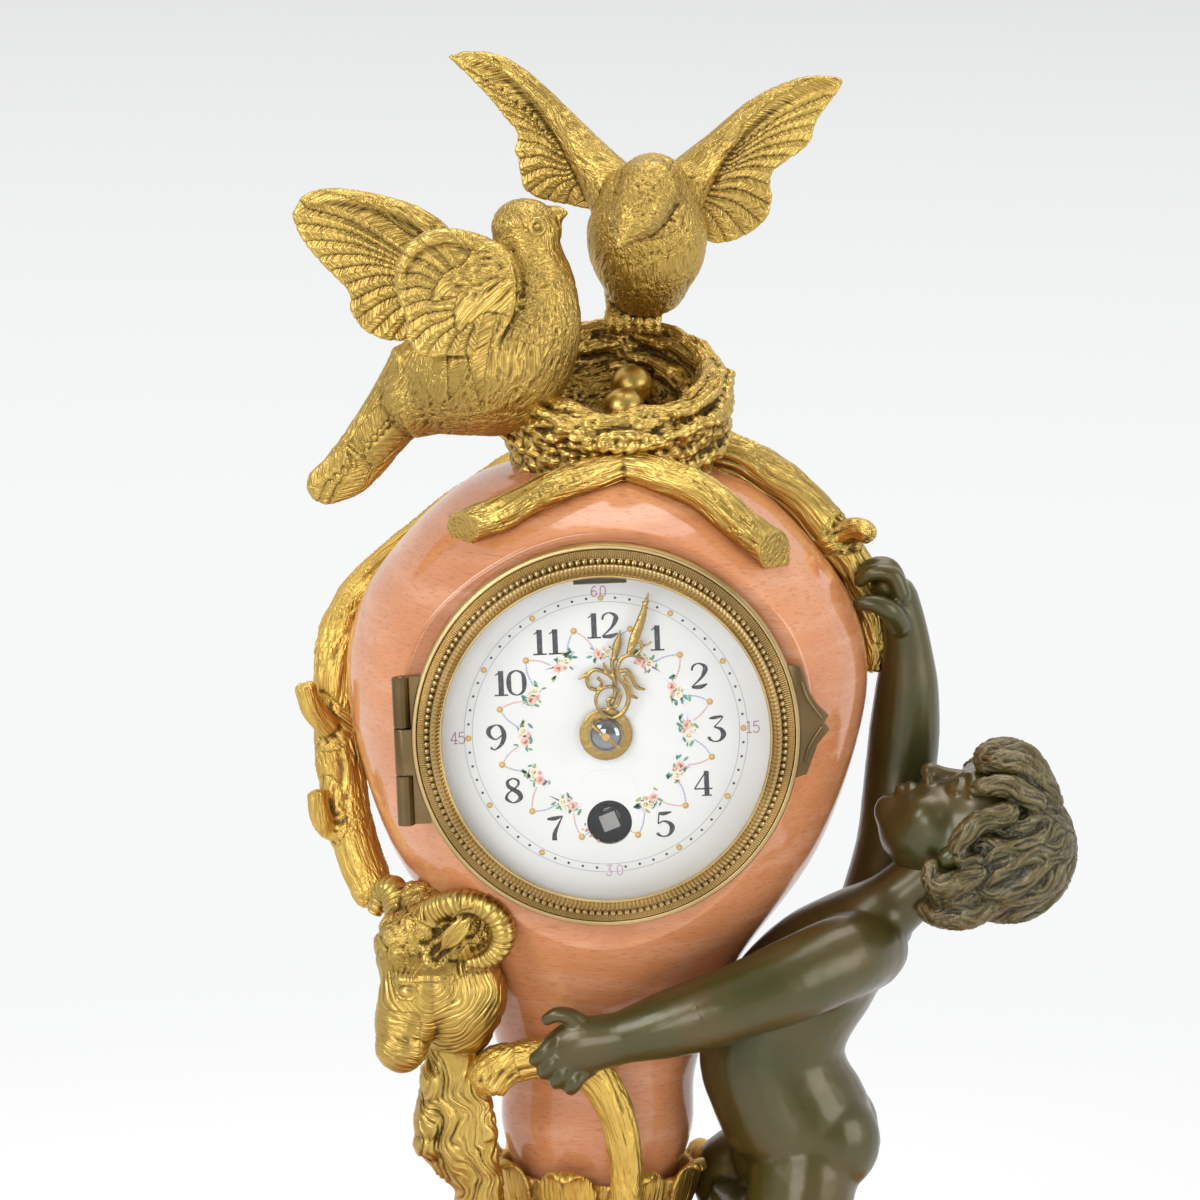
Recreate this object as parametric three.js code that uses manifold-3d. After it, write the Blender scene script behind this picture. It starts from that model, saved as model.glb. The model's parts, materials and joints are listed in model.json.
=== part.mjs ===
// Figural table clock. A pear of polished marble stands on a plinth and carries a spring clock.
// Gilt-bronze nest, doves, branches and ram's head are fixed to it, and a bronze child holds it.
// Millimetres, +Z up, the dial faces -Y. The origin is under the middle of the plinth.

import * as THREE from 'three';
import { mergeVertices } from 'three/addons/utils/BufferGeometryUtils.js';
import Module from 'manifold-3d';

const wasm = await Module();
wasm.setup();

// Clearances
const GAP = 0.3; // between pieces that are fixed to each other
const RUN = 0.3; // between a turning piece and what it turns in

// Plinth, feet and pedestal
const PLINTH_LENGTH = 170;
const PLINTH_DEPTH = 112;
const PLINTH_CORNER = 40;
const PLINTH_THICK = 18;
const PLINTH_EDGE = 3;
const FOOT_HEIGHT = 9;
const FOOT_RADIUS = 7.5;
const FOOT_INSET_X = 27; // from the plinth's edge to a foot's centre
const FOOT_INSET_Y = 24;
const PEDESTAL_HEIGHT = 40.5;
const PEDESTAL_RADIUS = 20;
const PEDESTAL_WAIST = 13;
const PEDESTAL_NECK = 14.5;
const COLLAR_HEIGHT = 13;
const COLLAR_SEAT = 8; // how far the collar's foot lies under the pedestal's top
const COLLAR_LIP = 1.6; // wall of the leaf cup at its rim
const ROD_RADIUS = 2.5;
const ROD_HEAD_RADIUS = 4.2;
const ROD_HEAD_HEIGHT = 1.8;
const NUT_RADIUS = 5.5;
const NUT_HEIGHT = 4;

// Marble body
const AXIS_X = -16.5; // the pear stands left of the plinth's middle
const BODY_RADIUS = 53;
const NECK_RADIUS = 20;
const BODY_FOOT_RADIUS = 17;
const BODY_DROP = 99.5; // from the dial centre down to the marble's foot
const BODY_RISE = 51; // from the dial centre up to the marble's crown
const FACET = 34.5; // the front and back facets lie this far from the axis
const BORE_RADIUS = 33;

// Bezel, glass and dial
const DIAL_TURN = -3.5; // degrees, the clock sits slightly turned in its bore
const FLANGE_STEP = 0.2; // the fixed flange is this much smaller than the door
const FLANGE_THICK = 2.3;
const DIAL_RADIUS = 34.1;
const DIAL_THICK = 1;
const SLEEVE_WALL = 1.6;
const SLEEVE_LENGTH = 6.7;
const DOOR_RADIUS = 38.8;
const DOOR_DEPTH = 8;
const DOOR_RING = 5.8; // width of the door's ring around the visible dial
const SIGHT_RADIUS = DOOR_RADIUS - DOOR_RING;
const GLASS_LIP = 1.6; // the door's lip laps the glass by this much
const GLASS_RADIUS = SIGHT_RADIUS + GLASS_LIP;
const GLASS_THICK = 1.2;
const HINGE_RADIUS = 1.7;
const PIN_RADIUS = 0.6;
const HINGE_LOW = -17;
const HINGE_HIGH = 13;
const TAB_REACH = 6; // thumb tab beyond the bezel
const SLOT_WIDTH = 10.6; // slot at the top of the dial
const SLOT_HEIGHT = 1.8;
const SLOT_AT = 31.2;
const WINDING_HOLE = 4.5;
const STRAP_WIDTH = 7;
const STRAP_THICK = 2.6;

// Hands
const MINUTE_LENGTH = 29.7;
const HOUR_LENGTH = 21.5;
const MINUTE_ANGLE = 17.5; // degrees clockwise from twelve
const HOUR_ANGLE = 7.3;
const HAND_THICK = 0.5;
const HOUR_BOSS = 5.2;
const NUT_DOME = 3.2;

// Movement plates and wheels
const FRONT_PLATE_AT = 7; // behind the marble's facet
const PLATE_THICK = 2;
const PLATE_SPACE = 24;
const BACK_PLATE_RADIUS = 29.2;
const PILLAR_RADIUS = 1.8;
const ARBOR_RADIUS = 1;
const PIVOT_RADIUS = 0.6;
const CENTRE_ARBOR = 0.8;
const PIPE_WALL = 0.5;
const WHEEL_THICK = 1.2;
const PINION_LENGTH = 2.6;
const WINDING_OFFSET = 18.2; // winding arbor under the dial centre
const WINDING_RADIUS = 2;
const WINDING_SQUARE = 3.4;
const SQUARE_TURN = 20;
const BARREL_RADIUS = 10.2;
const BARREL_WALL = 0.8;
const BARREL_DEPTH = 10;
const SPRING_TURNS = 5;
const SPRING_THICK = 0.5;
const SLOW_MODULE = 0.4; // barrel, intermediate wheel and centre pinion
const GREAT_TEETH = 60;
const INTERMEDIATE_LEAVES = 12;
const INTERMEDIATE_TEETH = 60;
const CENTRE_LEAVES = 12;
const CENTRE_MODULE = 0.35;
const CENTRE_TEETH = 64;
const THIRD_LEAVES = 8;
const THIRD_MODULE = 0.3;
const THIRD_TEETH = 60;
const FOURTH_LEAVES = 8;
const FOURTH_MODULE = 0.25;
const FOURTH_TEETH = 64;
const ESCAPE_LEAVES = 8;
const CANNON_MODULE = 0.4;
const CANNON_LEAVES = 12;
const MINUTE_TEETH = 36;
const MINUTE_LEAVES = 10;
const HOUR_TEETH = 40;
const ESCAPE_TEETH = 15;
const ESCAPE_RADIUS = 3.4;
const LEVER_DISTANCE = 5.4; // escape wheel to lever
const BALANCE_DISTANCE = 8.5; // escape wheel to balance
const BALANCE_RADIUS = 6.4;
const BALANCE_RIM = 1.2;
const RATCHET_TEETH = 24;
const RATCHET_RADIUS = 6.2;
const CLICK_LENGTH = 8;
const COCK_REACH = 9.2;

// Back ring and door
const RING_RADIUS = 37.5;
const RING_THICK = 2;
const RING_BORE = 28.5;
const BACK_DOOR_RADIUS = 36.5;
const BACK_DOOR_THICK = 1.5;
const BACK_HINGE_SPAN = 18;

// Gilt mounts
const NEST_RADIUS = 25;
const NEST_TILT = 20; // degrees, the nest leans towards the front
const NEST_RIM = 17; // rim centre above the marble's crown
const NEST_CUP = 11; // depth of the cup
const EGG_RADIUS = 4.2;
const WING_THICK = 2.6;
const TWIG_RADIUS = 3.4;
const BRANCH_RADIUS = 4.4;

const plinthBottom = FOOT_HEIGHT + GAP;
const plinthTop = plinthBottom + PLINTH_THICK;
const pedestalTop = plinthTop + GAP + PEDESTAL_HEIGHT;
const dialHeight = pedestalTop + GAP + BODY_DROP;
const radians = THREE.MathUtils.degToRad;

// Materials
const paint = (color, roughness, metalness) =>
  new THREE.MeshStandardMaterial({ color, roughness, metalness });
const marble = paint(0xd29a78, 0.2, 0);
const gilt = paint(0xc9992f, 0.35, 1);
const bronze = paint(0x4a4826, 0.3, 1);
const oldBrass = paint(0x94793f, 0.4, 1);
const brass = paint(0xb98f3e, 0.3, 1);
const steel = paint(0xb4b6b8, 0.25, 1);
const enamel = paint(0xf2f0ea, 0.15, 0);
const crystal = new THREE.MeshStandardMaterial({
  color: 0xffffff, roughness: 0.05, transparent: true, opacity: 0.15,
});

// A closed solid from a geometry, with its faces turned outwards
function solid(geometry) {
  const bare = geometry.index ? geometry.toNonIndexed() : geometry.clone();
  bare.deleteAttribute('normal');
  bare.deleteAttribute('uv');
  const merged = mergeVertices(bare, 1e-4);
  const at = merged.attributes.position.array;
  const corner = (i) => new THREE.Vector3().fromArray(at, 3 * i);
  const faces = [];
  let volume = 0;
  for (let i = 0; i < merged.index.count; i += 3) {
    const [a, b, c] = [0, 1, 2].map((k) => merged.index.getX(i + k));
    if (a === b || b === c || c === a) continue;
    faces.push([a, b, c]);
    volume += corner(a).dot(corner(b).cross(corner(c)));
  }
  const facing = volume < 0 ? faces.map(([a, b, c]) => [a, c, b]) : faces;
  return new wasm.Manifold(new wasm.Mesh({
    numProp: 3,
    vertProperties: new Float32Array(at),
    triVerts: new Uint32Array(facing.flat()),
  }));
}

function join(...solids) {
  return solids.reduce((whole, piece) => whole.add(piece));
}

function cut(piece, ...tools) {
  return tools.reduce((rest, tool) => rest.subtract(tool), piece);
}

// The largest body of a cut, without the slivers that curved cuts leave
function mainBody(piece) {
  const bodies = piece.decompose();
  return bodies.reduce((best, body) => (body.volume() > best.volume() ? body : best));
}

function mesh(name, shape, material, group) {
  const data = shape.getMesh();
  const geometry = new THREE.BufferGeometry();
  geometry.setAttribute('position', new THREE.BufferAttribute(data.vertProperties, 3));
  geometry.setIndex(new THREE.BufferAttribute(data.triVerts, 1));
  geometry.computeVertexNormals();
  const piece = new THREE.Mesh(geometry, material);
  piece.name = name;
  group.add(piece);
  return piece;
}

// Turned shapes: points are [radius, place along the axis]
const profile = (points) => points.map(([r, a]) => new THREE.Vector2(r, a));
const turnedY = (points, sides = 24) => solid(new THREE.LatheGeometry(profile(points), sides));
const turnedZ = (points, sides = 24) =>
  solid(new THREE.LatheGeometry(profile(points), sides).rotateX(Math.PI / 2));
const closed = (points) => [...points, points[0]];
const rodY = (radius, from, to, sides = 12) =>
  turnedY([[0, from], [radius, from], [radius, to], [0, to]], sides);
const tubeY = (inner, outer, from, to, sides = 24) =>
  turnedY(closed([[inner, from], [outer, from], [outer, to], [inner, to]]), sides);

// Flat pieces: an outline in X and Z with a thickness along Y
function plateY(outline, from, thick, curveSegments = 6) {
  const options = { depth: thick, bevelEnabled: false, curveSegments };
  const geometry = new THREE.ExtrudeGeometry(outline, options);
  return solid(geometry.rotateX(Math.PI / 2).translate(0, from + thick, 0));
}

const outlineOf = (points) => new THREE.Shape(points.map(([x, z]) => new THREE.Vector2(x, z)));

function discOutline(radius, x = 0, z = 0) {
  return new THREE.Shape().absarc(x, z, radius, 0, 2 * Math.PI);
}

function box(x0, x1, y0, y1, z0, z1) {
  const geometry = new THREE.BoxGeometry(x1 - x0, y1 - y0, z1 - z0);
  return solid(geometry.translate((x0 + x1) / 2, (y0 + y1) / 2, (z0 + z1) / 2));
}

function ellipsoid([x, y, z], [rx, ry, rz], tilt = 0, sides = 12) {
  const geometry = new THREE.SphereGeometry(1, sides, sides / 2 + 1).rotateX(Math.PI / 2);
  geometry.scale(rx, ry, rz).rotateY(radians(tilt));
  return solid(geometry.translate(x, y, z));
}

// A tapering limb along a smooth curve. Stations are [x, y, z, radius, radius across]
function limb(stations, { grow = 0, sides = 10, steps = 2, across = [0, 1, 0], cap = 0.6 } = {}) {
  const curve = new THREE.CatmullRomCurve3(stations.map((s) => new THREE.Vector3(...s)));
  const count = (stations.length - 1) * steps;
  const points = [];
  const faces = [];
  const wide = new THREE.Vector3(...across);
  const sizeAt = (u, k) => {
    const place = Math.min(u * (stations.length - 1), stations.length - 1.000001);
    const [a, b] = [stations[Math.floor(place)], stations[Math.floor(place) + 1]];
    const t = place - Math.floor(place);
    const ease = t * t * (3 - 2 * t);
    return THREE.MathUtils.lerp(a[k] ?? a[3], b[k] ?? b[3], ease) + grow;
  };
  for (let i = 0; i <= count; i += 1) {
    const u = i / count;
    const middle = curve.getPoint(u);
    const along = curve.getTangent(u);
    const side = wide.clone().addScaledVector(along, -wide.dot(along)).normalize();
    const other = along.clone().cross(side);
    if (i === 0) points.push(middle.clone().addScaledVector(along, -cap * sizeAt(0, 3)));
    for (let j = 0; j < sides; j += 1) {
      const angle = (2 * Math.PI * j) / sides;
      const point = middle.clone().addScaledVector(side, Math.cos(angle) * sizeAt(u, 4));
      points.push(point.addScaledVector(other, Math.sin(angle) * sizeAt(u, 3)));
    }
    if (i === count) points.push(middle.clone().addScaledVector(along, cap * sizeAt(1, 3)));
  }
  const at = (i, j) => 1 + i * sides + (j % sides);
  for (let j = 0; j < sides; j += 1) {
    faces.push(0, at(0, j + 1), at(0, j));
    for (let i = 0; i < count; i += 1) {
      faces.push(at(i, j), at(i, j + 1), at(i + 1, j + 1));
      faces.push(at(i, j), at(i + 1, j + 1), at(i + 1, j));
    }
    faces.push(points.length - 1, at(count, j), at(count, j + 1));
  }
  const geometry = new THREE.BufferGeometry().setFromPoints(points);
  geometry.setIndex(faces);
  return solid(geometry);
}

// Plinth and feet
const clockPart = new THREE.Group();

const halfLength = PLINTH_LENGTH / 2 - PLINTH_EDGE;
const halfDepth = PLINTH_DEPTH / 2 - PLINTH_EDGE;
const corner = PLINTH_CORNER - PLINTH_EDGE;
const plinthOutline = new THREE.Shape();
[[1, -1], [1, 1], [-1, 1], [-1, -1]].forEach(([x, y], k) => {
  const start = (k - 1) * (Math.PI / 2);
  const middle = [x * (halfLength - corner), y * (halfDepth - corner)];
  plinthOutline.absarc(...middle, corner, start, start + Math.PI / 2);
});
const plinthGeometry = new THREE.ExtrudeGeometry(plinthOutline, {
  depth: PLINTH_THICK - 2 * PLINTH_EDGE,
  bevelThickness: PLINTH_EDGE,
  bevelSize: PLINTH_EDGE,
  bevelSegments: 2,
  curveSegments: 5,
});
plinthGeometry.translate(0, 0, plinthBottom + PLINTH_EDGE);
const rodAt = (shape) => shape.translate(AXIS_X, 0, 0);
const rodHole = turnedZ([
  [0, 0], [ROD_RADIUS + GAP, 0], [ROD_RADIUS + GAP, dialHeight], [0, dialHeight],
], 12);
mesh('plinth', cut(solid(plinthGeometry), rodAt(rodHole)), marble, clockPart);

const footShape = turnedZ([
  [0, 0], [FOOT_RADIUS * 0.6, 0], [FOOT_RADIUS, FOOT_HEIGHT * 0.45],
  [FOOT_RADIUS * 0.7, FOOT_HEIGHT * 0.75], [FOOT_RADIUS * 0.85, FOOT_HEIGHT], [0, FOOT_HEIGHT],
], 12);
[[-1, -1], [1, -1], [1, 1], [-1, 1]].forEach(([x, y], k) => {
  const foot = mesh(`foot_${k + 1}`, footShape, gilt, clockPart);
  foot.position.set(x * (PLINTH_LENGTH / 2 - FOOT_INSET_X), y * (PLINTH_DEPTH / 2 - FOOT_INSET_Y), 0);
});

// Marble body, worked in a frame whose origin is the pear's axis at the height of the dial
const body = new THREE.Group();
body.position.set(AXIS_X, 0, dialHeight);
clockPart.add(body);

const outline = new THREE.SplineCurve(profile([
  [BODY_FOOT_RADIUS, -BODY_DROP],
  [NECK_RADIUS - 0.2, 10 - BODY_DROP],
  [NECK_RADIUS + 0.5, 24 - BODY_DROP],
  [NECK_RADIUS + 8.4, -54],
  [BODY_RADIUS - 8.5, -29],
  [BODY_RADIUS, 0],
  [BODY_RADIUS - 1.7, BODY_RISE - 33],
  [BODY_RADIUS - 10.3, BODY_RISE - 19],
  [BODY_RADIUS - 24, BODY_RISE - 6.2],
  [BODY_RADIUS * 0.23, BODY_RISE - 0.7],
  [0, BODY_RISE],
]));

function pear(grow) {
  const points = outline.getPoints(20).map((p) => [Math.max(p.x + (p.x > 1 ? grow : 0), 0), p.y]);
  points[points.length - 1] = [0, BODY_RISE + grow];
  return turnedZ([[0, -BODY_DROP - grow], [points[0][0], -BODY_DROP - grow], ...points], 36);
}

// A point over the marble: degrees round from the front to the right, height, and lift off it
function onMarble(degrees, height, lift) {
  let [low, high] = [0, 1];
  for (let k = 0; k < 30; k += 1) {
    const middle = (low + high) / 2;
    if (outline.getPoint(middle).y < height) low = middle;
    else high = middle;
  }
  const spot = outline.getPoint(low);
  const along = outline.getTangent(low);
  const r = spot.x + along.y * lift;
  const angle = radians(degrees);
  return [r * Math.sin(angle), -r * Math.cos(angle), spot.y - along.x * lift];
}

const reach = 2 * BODY_RADIUS;
const bore = rodY(BORE_RADIUS, -reach, reach, 40);
const marbleBody = cut(
  pear(0),
  box(-reach, reach, -reach, -FACET, -reach, reach),
  box(-reach, reach, FACET, reach, -reach, reach),
  bore,
  rodHole.translate(0, 0, -dialHeight),
);
mesh('marble_body', marbleBody, marble, body);

// Pedestal, leaf collar and the tie rod that clamps them to the plinth
const inBody = (height) => height - dialHeight;
const collarFoot = pedestalTop - COLLAR_SEAT;

function pedestalShape(grow) {
  const foot = plinthTop + GAP - grow;
  const shoulder = collarFoot - GAP + grow;
  const points = [
    [0, foot], [PEDESTAL_RADIUS, foot], [PEDESTAL_RADIUS, plinthTop + 5],
    [PEDESTAL_RADIUS - 4, plinthTop + 8], [PEDESTAL_WAIST, plinthTop + 16],
    [PEDESTAL_WAIST + 1, shoulder - 8], [PEDESTAL_NECK + 4.5, shoulder - 3],
    [PEDESTAL_NECK + 4.5, shoulder], [PEDESTAL_NECK, shoulder],
    [PEDESTAL_NECK, pedestalTop], [0, pedestalTop],
  ];
  return turnedZ(points.map(([r, z]) => [r && r + grow, inBody(z)]), 20);
}

function collarShape(grow) {
  const rimHeight = collarFoot + COLLAR_HEIGHT;
  const cup = turnedZ([
    [0, collarFoot - grow], [PEDESTAL_NECK + 3.5 + grow, collarFoot - grow],
    [NECK_RADIUS - 1 + grow, pedestalTop - 2],
    [NECK_RADIUS + COLLAR_LIP + grow, rimHeight + grow], [0, rimHeight + grow],
  ].map(([r, z]) => [r, inBody(z)]), 24);
  return cut(cup, pear(GAP));
}

const pedestalNeck = turnedZ([
  [0, collarFoot - 1], [PEDESTAL_NECK + GAP, collarFoot - 1],
  [PEDESTAL_NECK + GAP, pedestalTop + GAP], [0, pedestalTop + GAP],
].map(([r, z]) => [r, inBody(z)]), 20);
mesh('pedestal', cut(pedestalShape(0), rodHole.translate(0, 0, -dialHeight)), gilt, body);
mesh('leaf_collar', mainBody(cut(collarShape(0), pedestalNeck)), gilt, body);

const boreFloor = -Math.sqrt(BORE_RADIUS ** 2 - ROD_HEAD_RADIUS ** 2) + GAP;
const rodFoot = inBody(plinthBottom - GAP - NUT_HEIGHT);
mesh('tie_rod', turnedZ([
  [0, rodFoot], [ROD_RADIUS, rodFoot], [ROD_RADIUS, boreFloor], [ROD_HEAD_RADIUS, boreFloor],
  [ROD_HEAD_RADIUS, boreFloor + ROD_HEAD_HEIGHT], [0, boreFloor + ROD_HEAD_HEIGHT],
], 12), steel, body);
const hexagon = turnedZ([
  [0, rodFoot], [NUT_RADIUS, rodFoot], [NUT_RADIUS, rodFoot + NUT_HEIGHT], [0, rodFoot + NUT_HEIGHT],
], 6);
mesh('tie_nut', cut(hexagon, rodHole.translate(0, 0, -dialHeight)), brass, body);

// Nest with its eggs
const crown = BODY_RISE;

function leaning(shape) {
  return shape.rotate([NEST_TILT, 0, 0]).translate(0, 0, crown + NEST_RIM);
}

function nestShape(grow) {
  const bowl = turnedZ([
    [0, -NEST_CUP - 5 - grow], [NEST_RADIUS - 5 + grow, -NEST_CUP - 4 - grow],
    [NEST_RADIUS + grow, -8], [NEST_RADIUS - 0.5 + grow, -3], [NEST_RADIUS - 4, grow],
    [NEST_RADIUS - 7.5 - grow, -2], [NEST_RADIUS - 10 - grow, grow - 7],
    [NEST_RADIUS - 16 - grow, grow + 0.5 - NEST_CUP], [0, grow - NEST_CUP],
  ], 20);
  const base = turnedZ([
    [0, crown - 7], [NEST_RADIUS - 4 + grow, crown - 7], [NEST_RADIUS - 3 + grow, crown],
    [NEST_RADIUS - 6 + grow, crown + 8], [0, crown + 8],
  ], 20);
  return join(cut(base, leaning(turnedZ([
    [0, -NEST_CUP - 1], [NEST_RADIUS + 9, -NEST_CUP - 1], [NEST_RADIUS + 9, 9], [0, 9],
  ], 20))), leaning(bowl));
}

mesh('nest', mainBody(cut(nestShape(0), pear(GAP))), gilt, body);
[[3.5, 5], [2, -5]].forEach(([x, y], k) => {
  const egg = ellipsoid([0, 0, 0], [EGG_RADIUS * 1.1, EGG_RADIUS, EGG_RADIUS], 0, 10);
  const seat = EGG_RADIUS + GAP + 0.5 - NEST_CUP;
  mesh(`egg_${k + 1}`, leaning(egg.translate(x, y, seat)), gilt, body);
});

// Forked twig under the nest, and the branches round the marble
const along = (route) => route.map(([degrees, height, lift, r]) => [
  ...onMarble(degrees, height, lift), r,
]);

function twigShape(grow) {
  const left = along([
    [30, crown - 1.6, 3, TWIG_RADIUS], [-20, crown - 4.7, 2.6, TWIG_RADIUS],
    [-36, crown - 9.8, 2.6, TWIG_RADIUS], [-48.5, crown - 13.8, 2.6, TWIG_RADIUS],
  ]);
  const right = along([
    [-15, crown - 1.6, 3, TWIG_RADIUS], [33, crown - 5, 2.8, TWIG_RADIUS + 0.4],
    [44, crown - 12.3, 2.8, TWIG_RADIUS + 0.4], [50.5, crown - 17, 2.8, TWIG_RADIUS + 0.5],
  ]);
  const form = { grow, sides: 8, across: [0, 0, 1], cap: 0.15 };
  return join(limb(left, form), limb(right, form));
}

function branchRight(grow) {
  return limb(along([
    [104, crown - 1.6, 3.2, BRANCH_RADIUS], [100, crown - 4.8, 3, BRANCH_RADIUS + 0.6],
    [99, 40, 3.2, BRANCH_RADIUS + 0.6], [97.5, 31, 3.5, BRANCH_RADIUS + 0.4],
    [96.5, 21, 3, BRANCH_RADIUS - 0.4], [96, 8, 2.4, BRANCH_RADIUS - 1.4],
    [96, -4, 1.8, BRANCH_RADIUS - 2.2],
  ]), { grow, sides: 8 });
}

function branchLeft(grow) {
  return limb(along([
    [-158, crown - 4, 2, BRANCH_RADIUS - 1], [-146, 44, 1.4, BRANCH_RADIUS - 1],
    [-132, 34, 1.4, BRANCH_RADIUS - 0.6], [-112, 20, 1.8, BRANCH_RADIUS - 0.2],
    [-98, -3, 4, BRANCH_RADIUS + 0.4], [-96, -14, 5.4, BRANCH_RADIUS + 0.6],
    [-92, -26, 7, BRANCH_RADIUS + 0.4], [-82, -35, 8, BRANCH_RADIUS],
  ]), { grow, sides: 8 });
}

function branchLower(grow) {
  return limb([
    ...along([
      [-64, -74, 4.5, BRANCH_RADIUS], [-32, -71, 5.2, BRANCH_RADIUS],
      [-12, -69.6, 5.6, BRANCH_RADIUS - 0.4], [4, -75.5, 5.2, BRANCH_RADIUS - 0.2],
      [16, -85, 4.6, BRANCH_RADIUS],
    ]),
    [10, -22, inBody(pedestalTop), BRANCH_RADIUS],
    [7, -21.5, inBody(pedestalTop - 15), BRANCH_RADIUS],
    [3, -17.5, inBody(pedestalTop - 27), BRANCH_RADIUS - 1],
  ], { grow, sides: 8, across: [0, -1, 0.3] });
}

const nestCut = nestShape(GAP);
mesh('nest_twigs', mainBody(cut(twigShape(0), pear(GAP), nestCut)), gilt, body);
mesh('branch_right', mainBody(cut(branchRight(0), pear(GAP), nestCut)), gilt, body);

// Ram's head at the lower left, with a curled horn and a pelt that hangs down the neck
const doorPath = rodY(DOOR_RADIUS + 0.8, -reach, -FACET + GAP, 32);

function ramShape(grow) {
  const form = { grow, sides: 10 };
  const head = limb([
    [-36, -19, -41, 11], [-34.5, -22, -53, 13.4], [-38.5, -27.5, -63.5, 8.4],
    [-40.5, -29.5, -69, 6],
  ], form);
  const horn = limb([
    [-41, -24, -37, 4.8], [-33, -30.5, -34.8, 4.6], [-24.5, -35, -36, 4.3],
    [-18.2, -36, -41, 3.8], [-20, -31.5, -47, 3.2], [-25, -31, -48, 2.4],
  ], { ...form, sides: 8, across: [1, -1, 0.2] });
  const pelt = limb([
    [-29, -19, -58, 8, 12], [-29.5, -18, -74, 6.5, 10], [-29.5, -18, -86, 6.5, 11],
    [-28, -18, -97, 6, 10.5], [-24, -17.5, inBody(pedestalTop - 14), 5, 8.5],
    [-17, -12.5, inBody(pedestalTop - 26), 3.5, 6],
  ], { ...form, across: [1, -1, 0] });
  return join(head, horn, pelt);
}

const baseCut = join(pear(GAP), pedestalShape(GAP), collarShape(GAP));
mesh('ram_mask', mainBody(cut(ramShape(0), baseCut, doorPath)), gilt, body);
const ramCut = ramShape(GAP);
mesh('branch_left', mainBody(cut(branchLeft(0), pear(GAP), nestCut, ramCut)), gilt, body);
mesh('branch_lower', mainBody(cut(branchLower(0), baseCut, ramCut)), gilt, body);

// Doves: the left one leans over the nest's rim, the right one lands on its back rim
function doveLeft(grow) {
  const frame = { grow, sides: 10 };
  const trunk = limb([
    [-43, -7, crown + 12, 5.5], [-35, -7.5, crown + 15, 10.5], [-25, -8, crown + 19.5, 14.6],
    [-18.5, -8, crown + 28, 11.4], [-17, -8, crown + 39, 7.2], [-17.5, -8, crown + 48, 6.8],
  ], { ...frame, cap: 0.7 });
  const tail = limb([
    [-38, -7, crown + 14, 4, 6], [-48, -6, crown + 3, 2.4, 4.2], [-58, -5, crown - 7, 1.8, 5],
  ], { ...frame, sides: 8, across: [1, 0, -1], cap: 0.2 });
  const beak = limb([
    [-15, -8, crown + 50.5, 3], [-12, -8, crown + 50.3, 0.9],
  ], { ...frame, sides: 6 });
  return join(trunk, tail, beak);
}

function doveRight(grow) {
  const frame = { grow, sides: 10 };
  const trunk = limb([
    [5.5, 30, crown + 33, 6.5], [5, 20, crown + 37, 11], [4.8, 11, crown + 42, 12.2],
    [4.5, 3, crown + 50, 10], [3.5, -2.5, crown + 53.5, 7.6],
  ], { ...frame, across: [1, 0, 0], cap: 0.7 });
  const tail = limb([
    [5.5, 27, crown + 34, 3.5, 6], [6, 40, crown + 28, 1.8, 9],
  ], { ...frame, sides: 8, across: [1, 0, 0], cap: 0.2 });
  const beak = limb([
    [2.5, -7, crown + 51, 3], [0.5, -9.5, crown + 47, 0.9],
  ], { ...frame, sides: 6, across: [1, 0, 0] });
  const legs = [-1.5, 7.5].map((x) => limb([
    [x, 15, crown + 35, 3], [x, 17.5, crown + 24, 2.4],
  ], { ...frame, sides: 6, across: [1, 0, 0] }));
  return join(trunk, tail, beak, ...legs);
}

// A wing is a cast plate: its outline in X and Z, its middle plane at a depth, turned upright
function wing(points, depth, lean, grow = 0) {
  const plate = plateY(outlineOf(points), -WING_THICK / 2 - grow, WING_THICK + 2 * grow);
  const [hingeX, hingeZ] = points[0];
  const hung = plate.translate(-hingeX, 0, -hingeZ).rotate([0, 0, lean]);
  return hung.translate(hingeX, depth, hingeZ);
}

const wingNear = [
  [-21, crown + 32], [-26, crown + 40], [-35, crown + 45.5], [-42, crown + 42],
  [-44.5, crown + 35], [-43, crown + 26], [-41, crown + 17.5], [-34, crown + 18], [-25, crown + 24],
];
const wingFar = [
  [-27, crown + 29], [-36, crown + 44], [-46, crown + 51], [-57, crown + 53], [-66, crown + 50.5],
  [-65, crown + 43], [-57, crown + 31], [-54, crown + 22], [-46, crown + 19], [-36, crown + 20],
];
const wingLeft = [
  [-5, crown + 46], [-7, crown + 55], [-13, crown + 67], [-22, crown + 77.5], [-30, crown + 81],
  [-35, crown + 80.5], [-27, crown + 69], [-19.5, crown + 59], [-18.5, crown + 51], [-13, crown + 47],
];
const wingRight = [
  [12, crown + 46], [15, crown + 56], [23, crown + 66], [34, crown + 74], [45.5, crown + 75.5],
  [42, crown + 66], [35, crown + 58], [31, crown + 52], [29, crown + 45], [22, crown + 41],
];
const wings = [
  ['dove_left_near_wing', wingNear, -20.5, 12],
  ['dove_left_far_wing', wingFar, 3, -8],
  ['dove_right_left_wing', wingLeft, 14, -6],
  ['dove_right_right_wing', wingRight, 14, 8],
];
const wingCuts = wings.map(([, points, depth, lean]) => wing(points, depth, lean, GAP));
const doveBodies = [['dove_left', doveLeft], ['dove_right', doveRight]];
doveBodies.forEach(([name, shape]) => {
  mesh(name, mainBody(cut(shape(0), nestCut, pear(GAP))), gilt, body);
});
const doveCut = join(doveLeft(GAP), doveRight(GAP), nestCut);
wings.forEach(([name, points, depth, lean], k) => {
  const earlier = wingCuts.slice(0, k);
  mesh(name, mainBody(cut(wing(points, depth, lean), doveCut, ...earlier)), gilt, body);
});

// Bronze child: it stands on the plinth, faces the pear, and its left side is towards the front
const floor = inBody(plinthTop + GAP);

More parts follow.
